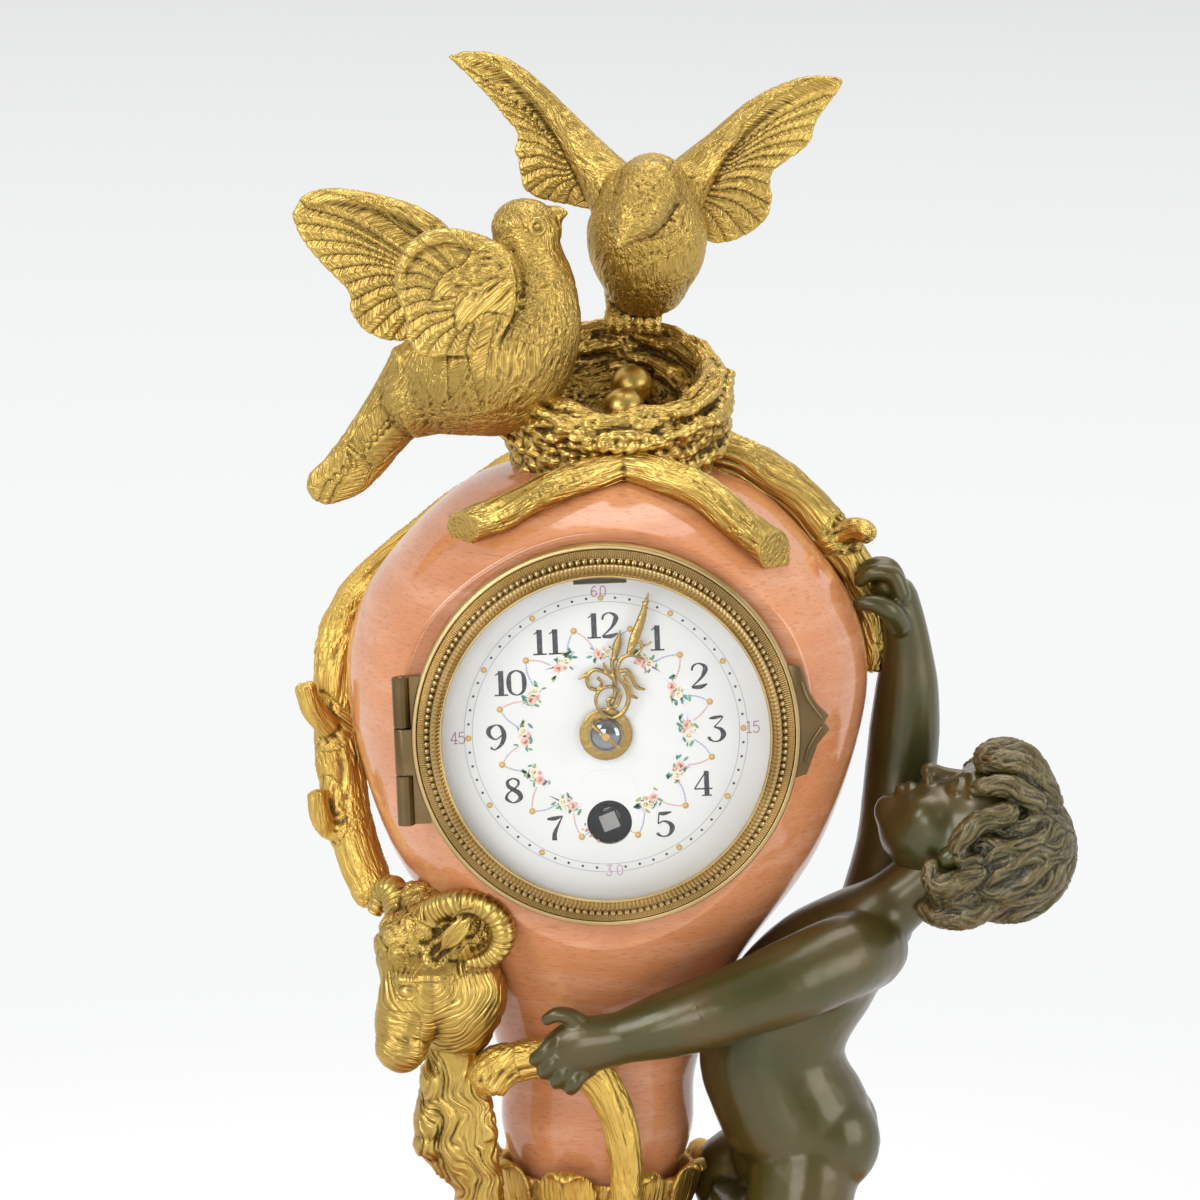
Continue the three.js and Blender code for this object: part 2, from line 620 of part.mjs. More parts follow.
function figureTrunk(grow) {
  const form = { grow, sides: 12 };
  const trunk = limb([
    [42.5, -10.5, floor + 45, 11, 14], [42.5, -11, floor + 53, 15.2, 15.5],
    [36.3, -11, floor + 68, 14.3, 13.6], [39.5, -11, floor + 79, 14.2, 14.4],
    [46, -10.5, floor + 89, 13.4, 16], [53.5, -10, floor + 96, 9.5, 14],
    [60, -9.5, floor + 100, 7, 7.4], [66, -9.5, floor + 105, 6.8, 7],
  ], form);
  const nearLeg = limb([
    [42.5, -18, floor + 48, 12], [41.5, -19, floor + 36, 11], [39, -20, floor + 21, 8.2],
    [42.5, -20, floor + 11, 6.8], [43.5, -20, floor + 3, 4.6],
  ], { ...form, sides: 10 });
  const farLeg = limb([
    [41, -3, floor + 48, 12], [34, 1, floor + 43, 9.6], [27, 2.5, floor + 39, 7],
    [30.5, 3, floor + 22, 6.2], [37, 3, floor + 4, 4.4],
  ], { ...form, sides: 10 });
  const soles = [[44, -20], [37.5, 3]].map(([x, y]) => limb([
    [x + 2, y, floor + 2.6, 3.6, 3.8], [x - 12, y - 1, floor + 2, 2.4, 4.6],
  ], { ...form, sides: 8 }));
  return join(trunk, nearLeg, farLeg, ...soles);
}

function armLow(grow) {
  const form = { grow, sides: 10 };
  const arm = limb([
    [53, -22.5, floor + 92, 8.8], [37, -30, floor + 88, 8.8], [20.5, -34, floor + 82.4, 7.8],
    [8.2, -34, floor + 78, 6], [-1.8, -32.5, floor + 75.2, 4.4], [-8.5, -31.5, floor + 71.5, 5.6],
    [-12, -30, floor + 67, 3.6],
  ], form);
  return arm;
}

function armRaised(grow) {
  return limb([
    [52, 5, floor + 98, 8.8], [57.5, 9, floor + 112, 8], [60.4, 9, floor + 127.6, 7.4],
    [61.6, 7, floor + 140.8, 6.6], [60.4, 5, floor + 153.6, 4.8], [58, 4, floor + 162, 5],
    [55, 3, floor + 167, 3.4],
  ], { grow, sides: 10 });
}

function figureHead(grow) {
  const size = (radii) => radii.map((r) => r + grow);
  const face = ellipsoid([69, -10, floor + 113], size([15.5, 12.2, 13.2]), 8);
  const hair = ellipsoid([83.5, -10, floor + 113], size([14.5, 16, 18.2]), 12);
  return join(face, hair);
}

const ground = box(-reach, 2 * reach, -reach, reach, -2 * reach, floor);
const mountCut = join(baseCut, branchRight(GAP), branchLower(GAP), ramCut);
const trunkCut = figureTrunk(GAP);
const armCut = join(armLow(GAP), armRaised(GAP));
mesh('figure_body', mainBody(cut(figureTrunk(0), mountCut, ground)), bronze, body);
mesh('figure_arm_low', mainBody(cut(armLow(0), mountCut, trunkCut)), bronze, body);
mesh('figure_arm_raised', mainBody(cut(armRaised(0), mountCut, trunkCut)), bronze, body);
mesh('figure_head', mainBody(cut(figureHead(0), trunkCut, armCut)), bronze, body);
const drape = limb([
  [40, -10, floor + 36, 17, 20], [38.5, -9.5, floor + 27, 16.5, 20.5],
  [39.5, -9, floor + 17, 14.5, 20], [41, -9, floor + 10, 13.5, 18],
], { sides: 14, cap: 0.1 });
mesh('figure_drape', mainBody(cut(drape, trunkCut, mountCut)), bronze, body);

// The clock, worked in a frame whose origin is the middle of the front facet
const clock = new THREE.Group();
clock.position.y = -FACET;
clock.rotation.y = radians(DIAL_TURN);
body.add(clock);

const flangeRadius = DOOR_RADIUS - FLANGE_STEP;
const flangeFront = -GAP - FLANGE_THICK;
const dialSeat = -2 * GAP;
const dialFront = dialSeat - GAP - DIAL_THICK;
const doorBack = flangeFront - GAP;
const doorFront = doorBack - DOOR_DEPTH;
const sleeveRadius = BORE_RADIUS - GAP - 0.1;
const sleeveBore = sleeveRadius - SLEEVE_WALL;
const backFacet = 2 * FACET;
const pinAt = [-(DOOR_RADIUS + HINGE_RADIUS + 0.1), (flangeFront + doorBack) / 2];
const hingeThird = (HINGE_HIGH - HINGE_LOW) / 3;

// A knuckle of a hinge round an upright pin, with the leaf that ties it to its ring
function knuckle([x, y], low, high, leafY, leafX) {
  const barrel = turnedZ([[0, low], [HINGE_RADIUS, low], [HINGE_RADIUS, high], [0, high]], 12);
  const leaf = box(Math.min(x, leafX), Math.max(x, leafX), leafY[0], leafY[1], low, high);
  return join(barrel.translate(x, y, 0), leaf);
}

function pinHole([x, y], low, high) {
  const radius = PIN_RADIUS + RUN;
  const hole = turnedZ([[0, low], [radius, low], [radius, high], [0, high]], 10);
  return hole.translate(x, y, 0);
}

const strapOuter = sleeveRadius - 0.2;
const strapInner = strapOuter - STRAP_THICK;
const strapEnd = backFacet - GAP;
const straps = [-1, 1].map((side) => box(
  Math.min(side * strapInner, side * strapOuter), Math.max(side * strapInner, side * strapOuter),
  1, strapEnd, -STRAP_WIDTH / 2, STRAP_WIDTH / 2,
));
const slotHole = box(
  -SLOT_WIDTH / 2, SLOT_WIDTH / 2, dialFront - 1, SLEEVE_LENGTH + 1,
  SLOT_AT - SLOT_HEIGHT / 2, SLOT_AT + SLOT_HEIGHT / 2,
);
const flangeRing = turnedY(closed([
  [flangeRadius, -GAP], [flangeRadius, flangeFront], [DIAL_RADIUS + GAP, flangeFront],
  [DIAL_RADIUS + GAP, dialSeat], [sleeveBore, dialSeat], [sleeveBore, SLEEVE_LENGTH],
  [sleeveRadius, SLEEVE_LENGTH], [sleeveRadius, -GAP],
]), 36);
const leafBack = [flangeFront + 0.2, -2 * GAP];
const lowKnuckle = knuckle(pinAt, HINGE_LOW, HINGE_LOW + hingeThird, leafBack, 3 - flangeRadius);
const highKnuckle = knuckle(pinAt, HINGE_HIGH - hingeThird, HINGE_HIGH, leafBack, 3 - flangeRadius);
const hingePinHole = pinHole(pinAt, HINGE_LOW - 1, HINGE_HIGH + 1);
const dialWell = rodY(DIAL_RADIUS + GAP, flangeFront - 1, dialSeat, 36);
const flange = cut(
  join(flangeRing, ...straps, cut(join(lowKnuckle, highKnuckle), dialWell)), hingePinHole, slotHole,
);
mesh('bezel_flange', flange, oldBrass, clock);
mesh('hinge_pin', turnedZ([
  [0, HINGE_LOW], [PIN_RADIUS, HINGE_LOW], [PIN_RADIUS, HINGE_HIGH], [0, HINGE_HIGH],
], 8).translate(pinAt[0], pinAt[1], 0), steel, clock);

const lipBack = doorFront + 2.8;
const doorRing = turnedY(closed([
  [DOOR_RADIUS, doorBack], [DOOR_RADIUS, doorBack - 2.4], [DOOR_RADIUS - 1, doorBack - 4],
  [DOOR_RADIUS - 3.2, doorFront + 1.4], [SIGHT_RADIUS + 0.8, doorFront], [SIGHT_RADIUS, doorFront + 0.5],
  [SIGHT_RADIUS, lipBack], [GLASS_RADIUS + GAP, lipBack], [GLASS_RADIUS + GAP, doorBack],
]), 36);
const doorKnuckle = knuckle(
  pinAt, HINGE_LOW + hingeThird + RUN, HINGE_HIGH - hingeThird - RUN,
  [doorBack - 1.6, doorBack], 2 - DOOR_RADIUS,
);
const tab = plateY(outlineOf([
  [DOOR_RADIUS - 2, 13], [DOOR_RADIUS + 0.4, 12.4], [DOOR_RADIUS + TAB_REACH * 0.35, 7],
  [DOOR_RADIUS + TAB_REACH, 2.2], [DOOR_RADIUS + TAB_REACH * 0.8, 1],
  [DOOR_RADIUS + TAB_REACH, -0.6], [DOOR_RADIUS + TAB_REACH * 0.45, -5],
  [DOOR_RADIUS + TAB_REACH * 0.15, -9.5], [DOOR_RADIUS - 2, -10.5],
]), doorBack - 1.4, 1.4);
mesh('bezel_door', cut(join(doorRing, doorKnuckle, tab), hingePinHole), oldBrass, clock);
const glassFront = lipBack + GAP;
mesh('glass', rodY(GLASS_RADIUS, glassFront, glassFront + GLASS_THICK, 36), crystal, clock);

// Dial and hands
const cannonRadius = CENTRE_ARBOR + RUN + PIPE_WALL;
const hourPipe = cannonRadius + RUN + PIPE_WALL;
const dialDisc = discOutline(DIAL_RADIUS);
dialDisc.holes.push(discOutline(hourPipe + RUN));
dialDisc.holes.push(discOutline(WINDING_HOLE, 0, -WINDING_OFFSET));
mesh('dial_plate', cut(plateY(dialDisc, dialFront, DIAL_THICK, 18), slotHole), enamel, clock);

const hourHandAt = dialFront - 0.7 - HAND_THICK;
const minuteHandAt = hourHandAt - 0.6 - HAND_THICK;
const nutAt = minuteHandAt - GAP;

// A pierced hand: half widths up its length either side, from the boss to the tip
function hand(boss, hole, length, widths, at, turn) {
  const blade = outlineOf([
    ...widths.map(([w, share]) => [-w, share * length]), [0, length],
    ...widths.toReversed().map(([w, share]) => [w * 0.9, share * length]),
  ]);
  const eye = new THREE.Path().absarc(0, length * 0.36, 1, 0, 2 * Math.PI);
  blade.holes.push(eye);
  const whole = join(plateY(blade, at, HAND_THICK), rodY(boss, at, at + HAND_THICK, 16));
  return cut(whole, rodY(hole, at - 1, at + 2, 12)).rotate([0, turn, 0]);
}

const scrolls = [[1, 0.08], [2.4, 0.2], [3, 0.3], [2.2, 0.42], [3.1, 0.5], [1.4, 0.6], [0.8, 0.78]];
const hourHole = hourPipe + GAP;
const minuteHole = cannonRadius + GAP;
const hourHand = hand(HOUR_BOSS, hourHole, HOUR_LENGTH, scrolls, hourHandAt, HOUR_ANGLE);
const minuteHand = hand(NUT_DOME, minuteHole, MINUTE_LENGTH, scrolls, minuteHandAt, MINUTE_ANGLE);
mesh('hour_hand', hourHand, gilt, clock);
mesh('minute_hand', minuteHand, gilt, clock);
mesh('hand_nut', turnedY(closed([
  [CENTRE_ARBOR + GAP, nutAt], [NUT_DOME, nutAt], [NUT_DOME * 0.85, nutAt - 0.8],
  [NUT_DOME * 0.45, nutAt - 1.4], [CENTRE_ARBOR + GAP, nutAt - 1.4],
]), 16), steel, clock);

// Wheels. Teeth are pointed; a phase turns the first tooth round from +X towards +Z
const pitch = (module, teeth) => (module * teeth) / 2;

function toothed(teeth, module, phase, from, thick) {
  const points = [];
  for (let k = 0; k < teeth; k += 1) {
    const tip = phase + (2 * Math.PI * k) / teeth;
    const root = tip + Math.PI / teeth;
    const outer = pitch(module, teeth) + 0.75 * module;
    const inner = pitch(module, teeth) - 1.15 * module;
    points.push([outer * Math.cos(tip), outer * Math.sin(tip)]);
    points.push([inner * Math.cos(root), inner * Math.sin(root)]);
  }
  return plateY(outlineOf(points), from, thick);
}

function sawToothed(teeth, tip, root, lean, from, thick) {
  const points = [];
  for (let k = 0; k < teeth; k += 1) {
    const angle = (2 * Math.PI * k) / teeth;
    const foot = angle + (lean * Math.PI) / teeth;
    points.push([tip * Math.cos(angle), tip * Math.sin(angle)]);
    points.push([root * Math.cos(foot), root * Math.sin(foot)]);
  }
  return plateY(outlineOf(points), from, thick);
}

// The phase that puts a gap of the second wheel round a tooth of the first
function inMesh(teeth, phase, direction, otherTeeth) {
  const share = ((direction - phase) * teeth) / (2 * Math.PI);
  return direction + Math.PI - ((0.5 - share) * 2 * Math.PI) / otherTeeth;
}

const plateBack = FRONT_PLATE_AT + PLATE_THICK;
const backPlateAt = plateBack + PLATE_SPACE;
const backPlateEnd = backPlateAt + PLATE_THICK;

function arbor(radius = ARBOR_RADIUS) {
  const [front, back] = [FRONT_PLATE_AT + GAP, backPlateEnd - GAP];
  const [from, to] = [plateBack + RUN, backPlateAt - RUN];
  return turnedY([
    [0, front], [PIVOT_RADIUS, front], [PIVOT_RADIUS, from], [radius, from],
    [radius, to], [PIVOT_RADIUS, to], [PIVOT_RADIUS, back], [0, back],
  ], 8);
}

const polar = ([x, z], direction, distance) => [
  x + distance * Math.cos(direction), z + distance * Math.sin(direction),
];
const direction = ([x0, z0], [x1, z1]) => Math.atan2(z1 - z0, x1 - x0);
const spacing = (module, a, b) => pitch(module, a + b);

const centreAt = [0, 0];
const barrelAt = [0, -WINDING_OFFSET];
const slowSpacing = spacing(SLOW_MODULE, INTERMEDIATE_TEETH, CENTRE_LEAVES);
const greatSpacing = spacing(SLOW_MODULE, GREAT_TEETH, INTERMEDIATE_LEAVES);
const lift = (WINDING_OFFSET ** 2 + greatSpacing ** 2 - slowSpacing ** 2) / (2 * WINDING_OFFSET);
const intermediateAt = [Math.sqrt(greatSpacing ** 2 - lift ** 2), lift - WINDING_OFFSET];
const thirdAt = polar(centreAt, radians(155.7), spacing(CENTRE_MODULE, CENTRE_TEETH, THIRD_LEAVES));
const fourthAt = polar(thirdAt, radians(63.2), spacing(THIRD_MODULE, THIRD_TEETH, FOURTH_LEAVES));
const escapeAt = polar(fourthAt, radians(21.5), spacing(FOURTH_MODULE, FOURTH_TEETH, ESCAPE_LEAVES));
const escapeLine = radians(11.5);
const leverAt = polar(escapeAt, escapeLine, LEVER_DISTANCE);
const balanceAt = polar(escapeAt, escapeLine, BALANCE_DISTANCE);
const minuteSpacing = spacing(CANNON_MODULE, CANNON_LEAVES, MINUTE_TEETH);
const minuteAt = polar(centreAt, radians(200), minuteSpacing);
const hourModule = (2 * minuteSpacing) / (MINUTE_LEAVES + HOUR_TEETH);
const clickAt = polar(barrelAt, radians(-20), RATCHET_RADIUS + 3.4);

function place(piece, [x, z]) {
  piece.position.set(x, 0, z);
  return piece;
}

// Plates. The pillars are riveted into the front plate and carry the back plate
const pivotHole = (at, radius = PIVOT_RADIUS + RUN) =>
  rodY(radius, plateBack - PLATE_THICK - 1, backPlateEnd + 1, 8).translate(at[0], 0, at[1]);
const trainHoles = [intermediateAt, thirdAt, fourthAt, escapeAt, leverAt, balanceAt].map((at) =>
  pivotHole(at));
const stud = (at, radius, from) =>
  rodY(radius, from, FRONT_PLATE_AT + 1, 8).translate(at[0], 0, at[1]);
const hourWheelAt = 2.6;
const minuteWheelAt = hourWheelAt + WHEEL_THICK + PINION_LENGTH - 1.8;
const ratchetAt = FRONT_PLATE_AT - 2.6;
const pillars = [[-4.6, 26.1], [-20.3, -17], [26.4, -2.3]].map(([x, z]) =>
  rodY(PILLAR_RADIUS, plateBack - 1, backPlateAt - GAP, 10).translate(x, 0, z));
const frontDisc = rodY(sleeveRadius - 0.2, FRONT_PLATE_AT, plateBack, 36);
const strapNotches = [-1, 1].map((side) => box(
  side < 0 ? -BORE_RADIUS : strapInner - GAP, side < 0 ? GAP - strapInner : BORE_RADIUS,
  0, backPlateEnd, -STRAP_WIDTH / 2 - GAP, STRAP_WIDTH / 2 + GAP,
));
const frontPlate = join(
  cut(
    frontDisc, ...trainHoles, ...strapNotches, pivotHole(centreAt, CENTRE_ARBOR + RUN),
    pivotHole(barrelAt, WINDING_RADIUS + RUN),
  ),
  stud(minuteAt, PIVOT_RADIUS, hourWheelAt - 0.5), stud(clickAt, PIVOT_RADIUS + 0.2, ratchetAt - 0.4),
  ...pillars,
);
mesh('front_plate', frontPlate, brass, clock);
mesh('back_plate', cut(
  rodY(BACK_PLATE_RADIUS, backPlateAt, backPlateEnd, 30), ...trainHoles,
  pivotHole(centreAt), pivotHole(barrelAt, WINDING_RADIUS - 0.6 + RUN),
), brass, clock);

// Barrel with its spring, and the winding work
const greatAt = plateBack + 1;
const drumEnd = greatAt + WHEEL_THICK + BARREL_DEPTH;
const greatWheel = toothed(GREAT_TEETH, SLOW_MODULE, 0, greatAt, WHEEL_THICK);
const drum = tubeY(BARREL_RADIUS - BARREL_WALL, BARREL_RADIUS, greatAt + 0.5, drumEnd, 24);
const arborHole = rodY(WINDING_RADIUS + RUN, greatAt - 1, drumEnd + 4, 12);
place(mesh('barrel', cut(join(greatWheel, drum), arborHole), brass, clock), barrelAt);
const coverDisc = rodY(BARREL_RADIUS, drumEnd + GAP, drumEnd + GAP + 1, 24);
place(mesh('barrel_cover', cut(coverDisc, arborHole), brass, clock), barrelAt);

// A flat spiral band: one unbroken strip from an inner to an outer radius
function spiral(inner, outer, turns, thick, from, width, stepsPerTurn = 14) {
  const steps = turns * stepsPerTurn;
  const edge = (offset) => Array.from({ length: steps + 1 }, (_, k) => {
    const angle = (2 * Math.PI * k) / stepsPerTurn;
    const r = inner + ((outer - inner) * k) / steps + offset;
    return [r * Math.cos(angle), r * Math.sin(angle)];
  });
  return plateY(outlineOf([...edge(thick), ...edge(0).reverse()]), from, width);
}

const springInner = WINDING_RADIUS + GAP;
const springOuter = BARREL_RADIUS - BARREL_WALL - GAP - SPRING_THICK;
const springFrom = greatAt + WHEEL_THICK + GAP;
const mainspring = spiral(
  springInner, springOuter, SPRING_TURNS, SPRING_THICK, springFrom, drumEnd - springFrom,
);
place(mesh('mainspring', mainspring, steel, clock), barrelAt);

const squareFront = dialFront + 0.8;
const half = WINDING_SQUARE / 2;
const square = box(-half, half, squareFront, ratchetAt - 0.6, -half, half);
const windingShaft = turnedY([
  [0, ratchetAt - 1], [WINDING_RADIUS, ratchetAt - 1], [WINDING_RADIUS, backPlateAt - RUN],
  [WINDING_RADIUS - 0.6, backPlateAt - RUN], [WINDING_RADIUS - 0.6, backPlateEnd],
  [0, backPlateEnd],
], 12);
const windingArbor = join(windingShaft, square.rotate([0, -SQUARE_TURN, 0]));
place(mesh('winding_arbor', windingArbor, steel, clock), barrelAt);
const ratchet = cut(
  sawToothed(RATCHET_TEETH, RATCHET_RADIUS, RATCHET_RADIUS - 1, 0.4, ratchetAt, WHEEL_THICK),
  rodY(WINDING_RADIUS + GAP, ratchetAt - 1, ratchetAt + 3, 12),
);
place(mesh('ratchet_wheel', ratchet, steel, clock), barrelAt);
const clickTurn = direction(clickAt, barrelAt) + radians(58);
const clickTip = [CLICK_LENGTH * Math.cos(clickTurn) * 0.9, CLICK_LENGTH * Math.sin(clickTurn) * 0.9];
const clickSide = [-Math.sin(clickTurn), Math.cos(clickTurn)];
const clickBlade = outlineOf([
  [clickSide[0] * 1.4, clickSide[1] * 1.4], [-clickSide[0] * 1.4, -clickSide[1] * 1.4], clickTip,
]);
const click = cut(
  join(rodY(1.8, ratchetAt, ratchetAt + WHEEL_THICK, 12), plateY(clickBlade, ratchetAt, WHEEL_THICK)),
  rodY(PIVOT_RADIUS + 0.2 + RUN, ratchetAt - 1, ratchetAt + 3, 8),
);
place(mesh('click', click, steel, clock), clickAt);

// Going train
const slowWheelAt = drumEnd + GAP + 1 + 1.6;
const slowPinionAt = slowWheelAt - 0.7;
const intermediatePhase = inMesh(
  GREAT_TEETH, 0, direction(barrelAt, intermediateAt), INTERMEDIATE_LEAVES,
);
const intermediate = join(
  arbor(), toothed(INTERMEDIATE_LEAVES, SLOW_MODULE, intermediatePhase, greatAt - 0.5, PINION_LENGTH),
  toothed(INTERMEDIATE_TEETH, SLOW_MODULE, 0, slowWheelAt, WHEEL_THICK),
);
place(mesh('intermediate_wheel', intermediate, brass, clock), intermediateAt);

const centreWheelAt = slowPinionAt + PINION_LENGTH + 1.4;
const centrePhase = inMesh(
  INTERMEDIATE_TEETH, 0, direction(intermediateAt, centreAt), CENTRE_LEAVES,
);
const centreShaft = turnedY([
  [0, nutAt - 1.6], [CENTRE_ARBOR, nutAt - 1.6], [CENTRE_ARBOR, plateBack + RUN],
  [ARBOR_RADIUS, plateBack + RUN], [ARBOR_RADIUS, backPlateAt - RUN],
  [PIVOT_RADIUS, backPlateAt - RUN], [PIVOT_RADIUS, backPlateEnd - GAP], [0, backPlateEnd - GAP],
], 8);
const centreWheel = join(
  centreShaft, toothed(CENTRE_LEAVES, SLOW_MODULE, centrePhase, slowPinionAt, PINION_LENGTH),
  toothed(CENTRE_TEETH, CENTRE_MODULE, 0, centreWheelAt, WHEEL_THICK),
);
mesh('centre_wheel', centreWheel, brass, clock);

const thirdPhase = inMesh(CENTRE_TEETH, 0, direction(centreAt, thirdAt), THIRD_LEAVES);
const thirdWheelAt = plateBack + 3;
const thirdWheel = join(
  arbor(), toothed(THIRD_LEAVES, CENTRE_MODULE, thirdPhase, centreWheelAt - 0.6, PINION_LENGTH),
  toothed(THIRD_TEETH, THIRD_MODULE, 0, thirdWheelAt, WHEEL_THICK),
);
place(mesh('third_wheel', thirdWheel, brass, clock), thirdAt);

const fourthPhase = inMesh(THIRD_TEETH, 0, direction(thirdAt, fourthAt), FOURTH_LEAVES);
const fourthWheelAt = thirdWheelAt + 8;
const fourthWheel = join(
  arbor(), toothed(FOURTH_LEAVES, THIRD_MODULE, fourthPhase, thirdWheelAt - 0.6, PINION_LENGTH),
  toothed(FOURTH_TEETH, FOURTH_MODULE, 0, fourthWheelAt, WHEEL_THICK),
);
place(mesh('fourth_wheel', fourthWheel, brass, clock), fourthAt);

const escapePhase = inMesh(FOURTH_TEETH, 0, direction(fourthAt, escapeAt), ESCAPE_LEAVES);
const escapeWheelAt = fourthWheelAt + 6;
const escapeWheel = join(
  arbor(0.7), toothed(ESCAPE_LEAVES, FOURTH_MODULE, escapePhase, fourthWheelAt - 0.6, PINION_LENGTH),
  sawToothed(ESCAPE_TEETH, ESCAPE_RADIUS, ESCAPE_RADIUS - 1.1, 0.5, escapeWheelAt, WHEEL_THICK),
);
place(mesh('escape_wheel', escapeWheel, steel, clock), escapeAt);

// Motion work between the plate and the dial
const cannonTeeth = toothed(CANNON_LEAVES, CANNON_MODULE, 0, minuteWheelAt - 0.4, PINION_LENGTH - 0.8);
const cannonPipe = rodY(cannonRadius, minuteHandAt, FRONT_PLATE_AT - GAP, 12);
const cannonBore = rodY(CENTRE_ARBOR + RUN, minuteHandAt - 1, FRONT_PLATE_AT, 12);
mesh('cannon_pinion', cut(join(cannonTeeth, cannonPipe), cannonBore), steel, clock);

const minutePhase = inMesh(CANNON_LEAVES, 0, direction(centreAt, minuteAt), MINUTE_TEETH);
const minuteWheel = cut(
  join(
    toothed(MINUTE_TEETH, CANNON_MODULE, minutePhase, minuteWheelAt, WHEEL_THICK),
    toothed(MINUTE_LEAVES, hourModule, 0, hourWheelAt - 0.2, minuteWheelAt - hourWheelAt + 0.4),
  ),
  rodY(PIVOT_RADIUS + RUN, 0, FRONT_PLATE_AT, 8),
);
place(mesh('minute_wheel', minuteWheel, brass, clock), minuteAt);

const hourPhase = inMesh(MINUTE_LEAVES, 0, direction(minuteAt, centreAt), HOUR_TEETH);
const hourWheel = cut(
  join(
    toothed(HOUR_TEETH, hourModule, hourPhase, hourWheelAt, WHEEL_THICK - 0.2),
    rodY(hourPipe, hourHandAt, hourWheelAt + 0.5, 12),
  ),
  rodY(cannonRadius + RUN, hourHandAt - 1, hourWheelAt + 3, 12),
);
mesh('hour_wheel', hourWheel, brass, clock);

// Escapement: lever between the plates, balance behind the back plate under its cock
const leverOutline = [
  [-0.6, -3.9], [-2.7, -3.7], [-2.6, -3], [-0.8, -2.4], [-0.8, 2.4], [-2.6, 3], [-2.7, 3.7],
  [-0.6, 3.9], [0.7, 2], [0.7, 0.6], [1.7, 0.6], [1.7, -0.6], [0.7, -0.6], [0.7, -2],
];
const leverPlate = plateY(outlineOf(leverOutline), escapeWheelAt, WHEEL_THICK);
const aimed = leverPlate.rotate([0, -THREE.MathUtils.radToDeg(escapeLine), 0]);
place(mesh('pallet_lever', join(aimed, arbor(0.7)), steel, clock), leverAt);

const balanceWheelAt = backPlateEnd + 1.5;
const cockAt = balanceWheelAt + WHEEL_THICK + 2.4;
const staff = turnedY([
  [0, FRONT_PLATE_AT + GAP], [PIVOT_RADIUS, FRONT_PLATE_AT + GAP], [PIVOT_RADIUS, cockAt + 0.8],
  [0, cockAt + 0.8],
], 8);
const balance = join(
  tubeY(BALANCE_RADIUS - BALANCE_RIM, BALANCE_RADIUS, balanceWheelAt, balanceWheelAt + WHEEL_THICK),
  box(-BALANCE_RADIUS + 0.5, BALANCE_RADIUS - 0.5, balanceWheelAt, balanceWheelAt + 0.8, -0.6, 0.6),
  rodY(1.2, balanceWheelAt - 0.4, balanceWheelAt + 1.6, 12), staff,
);
place(mesh('balance', balance, brass, clock), balanceAt);
const hairspring = spiral(1.6, 4.2, 3, 0.3, balanceWheelAt + WHEEL_THICK + 0.6, 0.8, 12);
place(mesh('hairspring', hairspring, steel, clock), balanceAt);

const cockFoot = polar([0, 0], radians(-25), COCK_REACH);
const cockBar = [polar([0, 0], radians(65), 1.8), polar([0, 0], radians(-115), 1.8)];
const cockPlate = plateY(outlineOf([
  cockBar[0], cockBar[1], [cockFoot[0] + cockBar[1][0], cockFoot[1] + cockBar[1][1]],
  [cockFoot[0] + cockBar[0][0], cockFoot[1] + cockBar[0][1]],
]), cockAt, 1.4);
const cock = cut(
  join(
    cockPlate, rodY(2.4, cockAt, cockAt + 1.4, 12),
    rodY(1, cockAt + 1, cockAt + 2.8, 10),
    rodY(1.9, backPlateEnd + GAP, cockAt + 1.4, 10).translate(cockFoot[0], 0, cockFoot[1]),
  ),
  rodY(PIVOT_RADIUS + RUN, cockAt - 1, cockAt + 1.1, 8),
);
place(mesh('balance_cock', cock, brass, clock), balanceAt);
const indexAt = cockAt + 1.4 + GAP;
const indexArm = outlineOf([[-1, 0], [-0.5, 8], [0, 8.8], [0.5, 8], [1, 0]]);
const index = cut(
  join(rodY(2.1, indexAt, indexAt + 0.8, 12), plateY(indexArm, indexAt, 0.8)),
  rodY(1 + RUN, indexAt - 1, indexAt + 2, 10),
);
place(mesh('regulator_index', index, steel, clock), balanceAt);

// Back ring on the rear facet and the door that closes the bore
const ringFrom = backFacet + GAP;
const ringTo = ringFrom + RING_THICK;
const backDoorFrom = ringTo + GAP;
const backPinAt = [-(RING_RADIUS + HINGE_RADIUS + 0.1), (ringTo + backDoorFrom) / 2];
const backThird = BACK_HINGE_SPAN / 3;
const backPinHole = pinHole(backPinAt, -BACK_HINGE_SPAN, BACK_HINGE_SPAN);
const ringKnuckles = [-1, 1].map((side) => knuckle(
  backPinAt, side < 0 ? -1.5 * backThird : backThird / 2 + RUN,
  side < 0 ? -backThird / 2 - RUN : 1.5 * backThird, [ringFrom, ringTo - 0.2], 3 - RING_RADIUS,
));
const backRing = join(tubeY(RING_BORE, RING_RADIUS, ringFrom, ringTo, 32), ...ringKnuckles);
const backPin = turnedZ([
  [0, -1.5 * backThird], [PIN_RADIUS, -1.5 * backThird],
  [PIN_RADIUS, 1.5 * backThird], [0, 1.5 * backThird],
], 8).translate(backPinAt[0], backPinAt[1], 0);
const pinGap = pinHole(backPinAt, -backThird / 2, backThird / 2);
mesh('back_ring', join(cut(backRing, pinGap), backPin), oldBrass, clock);

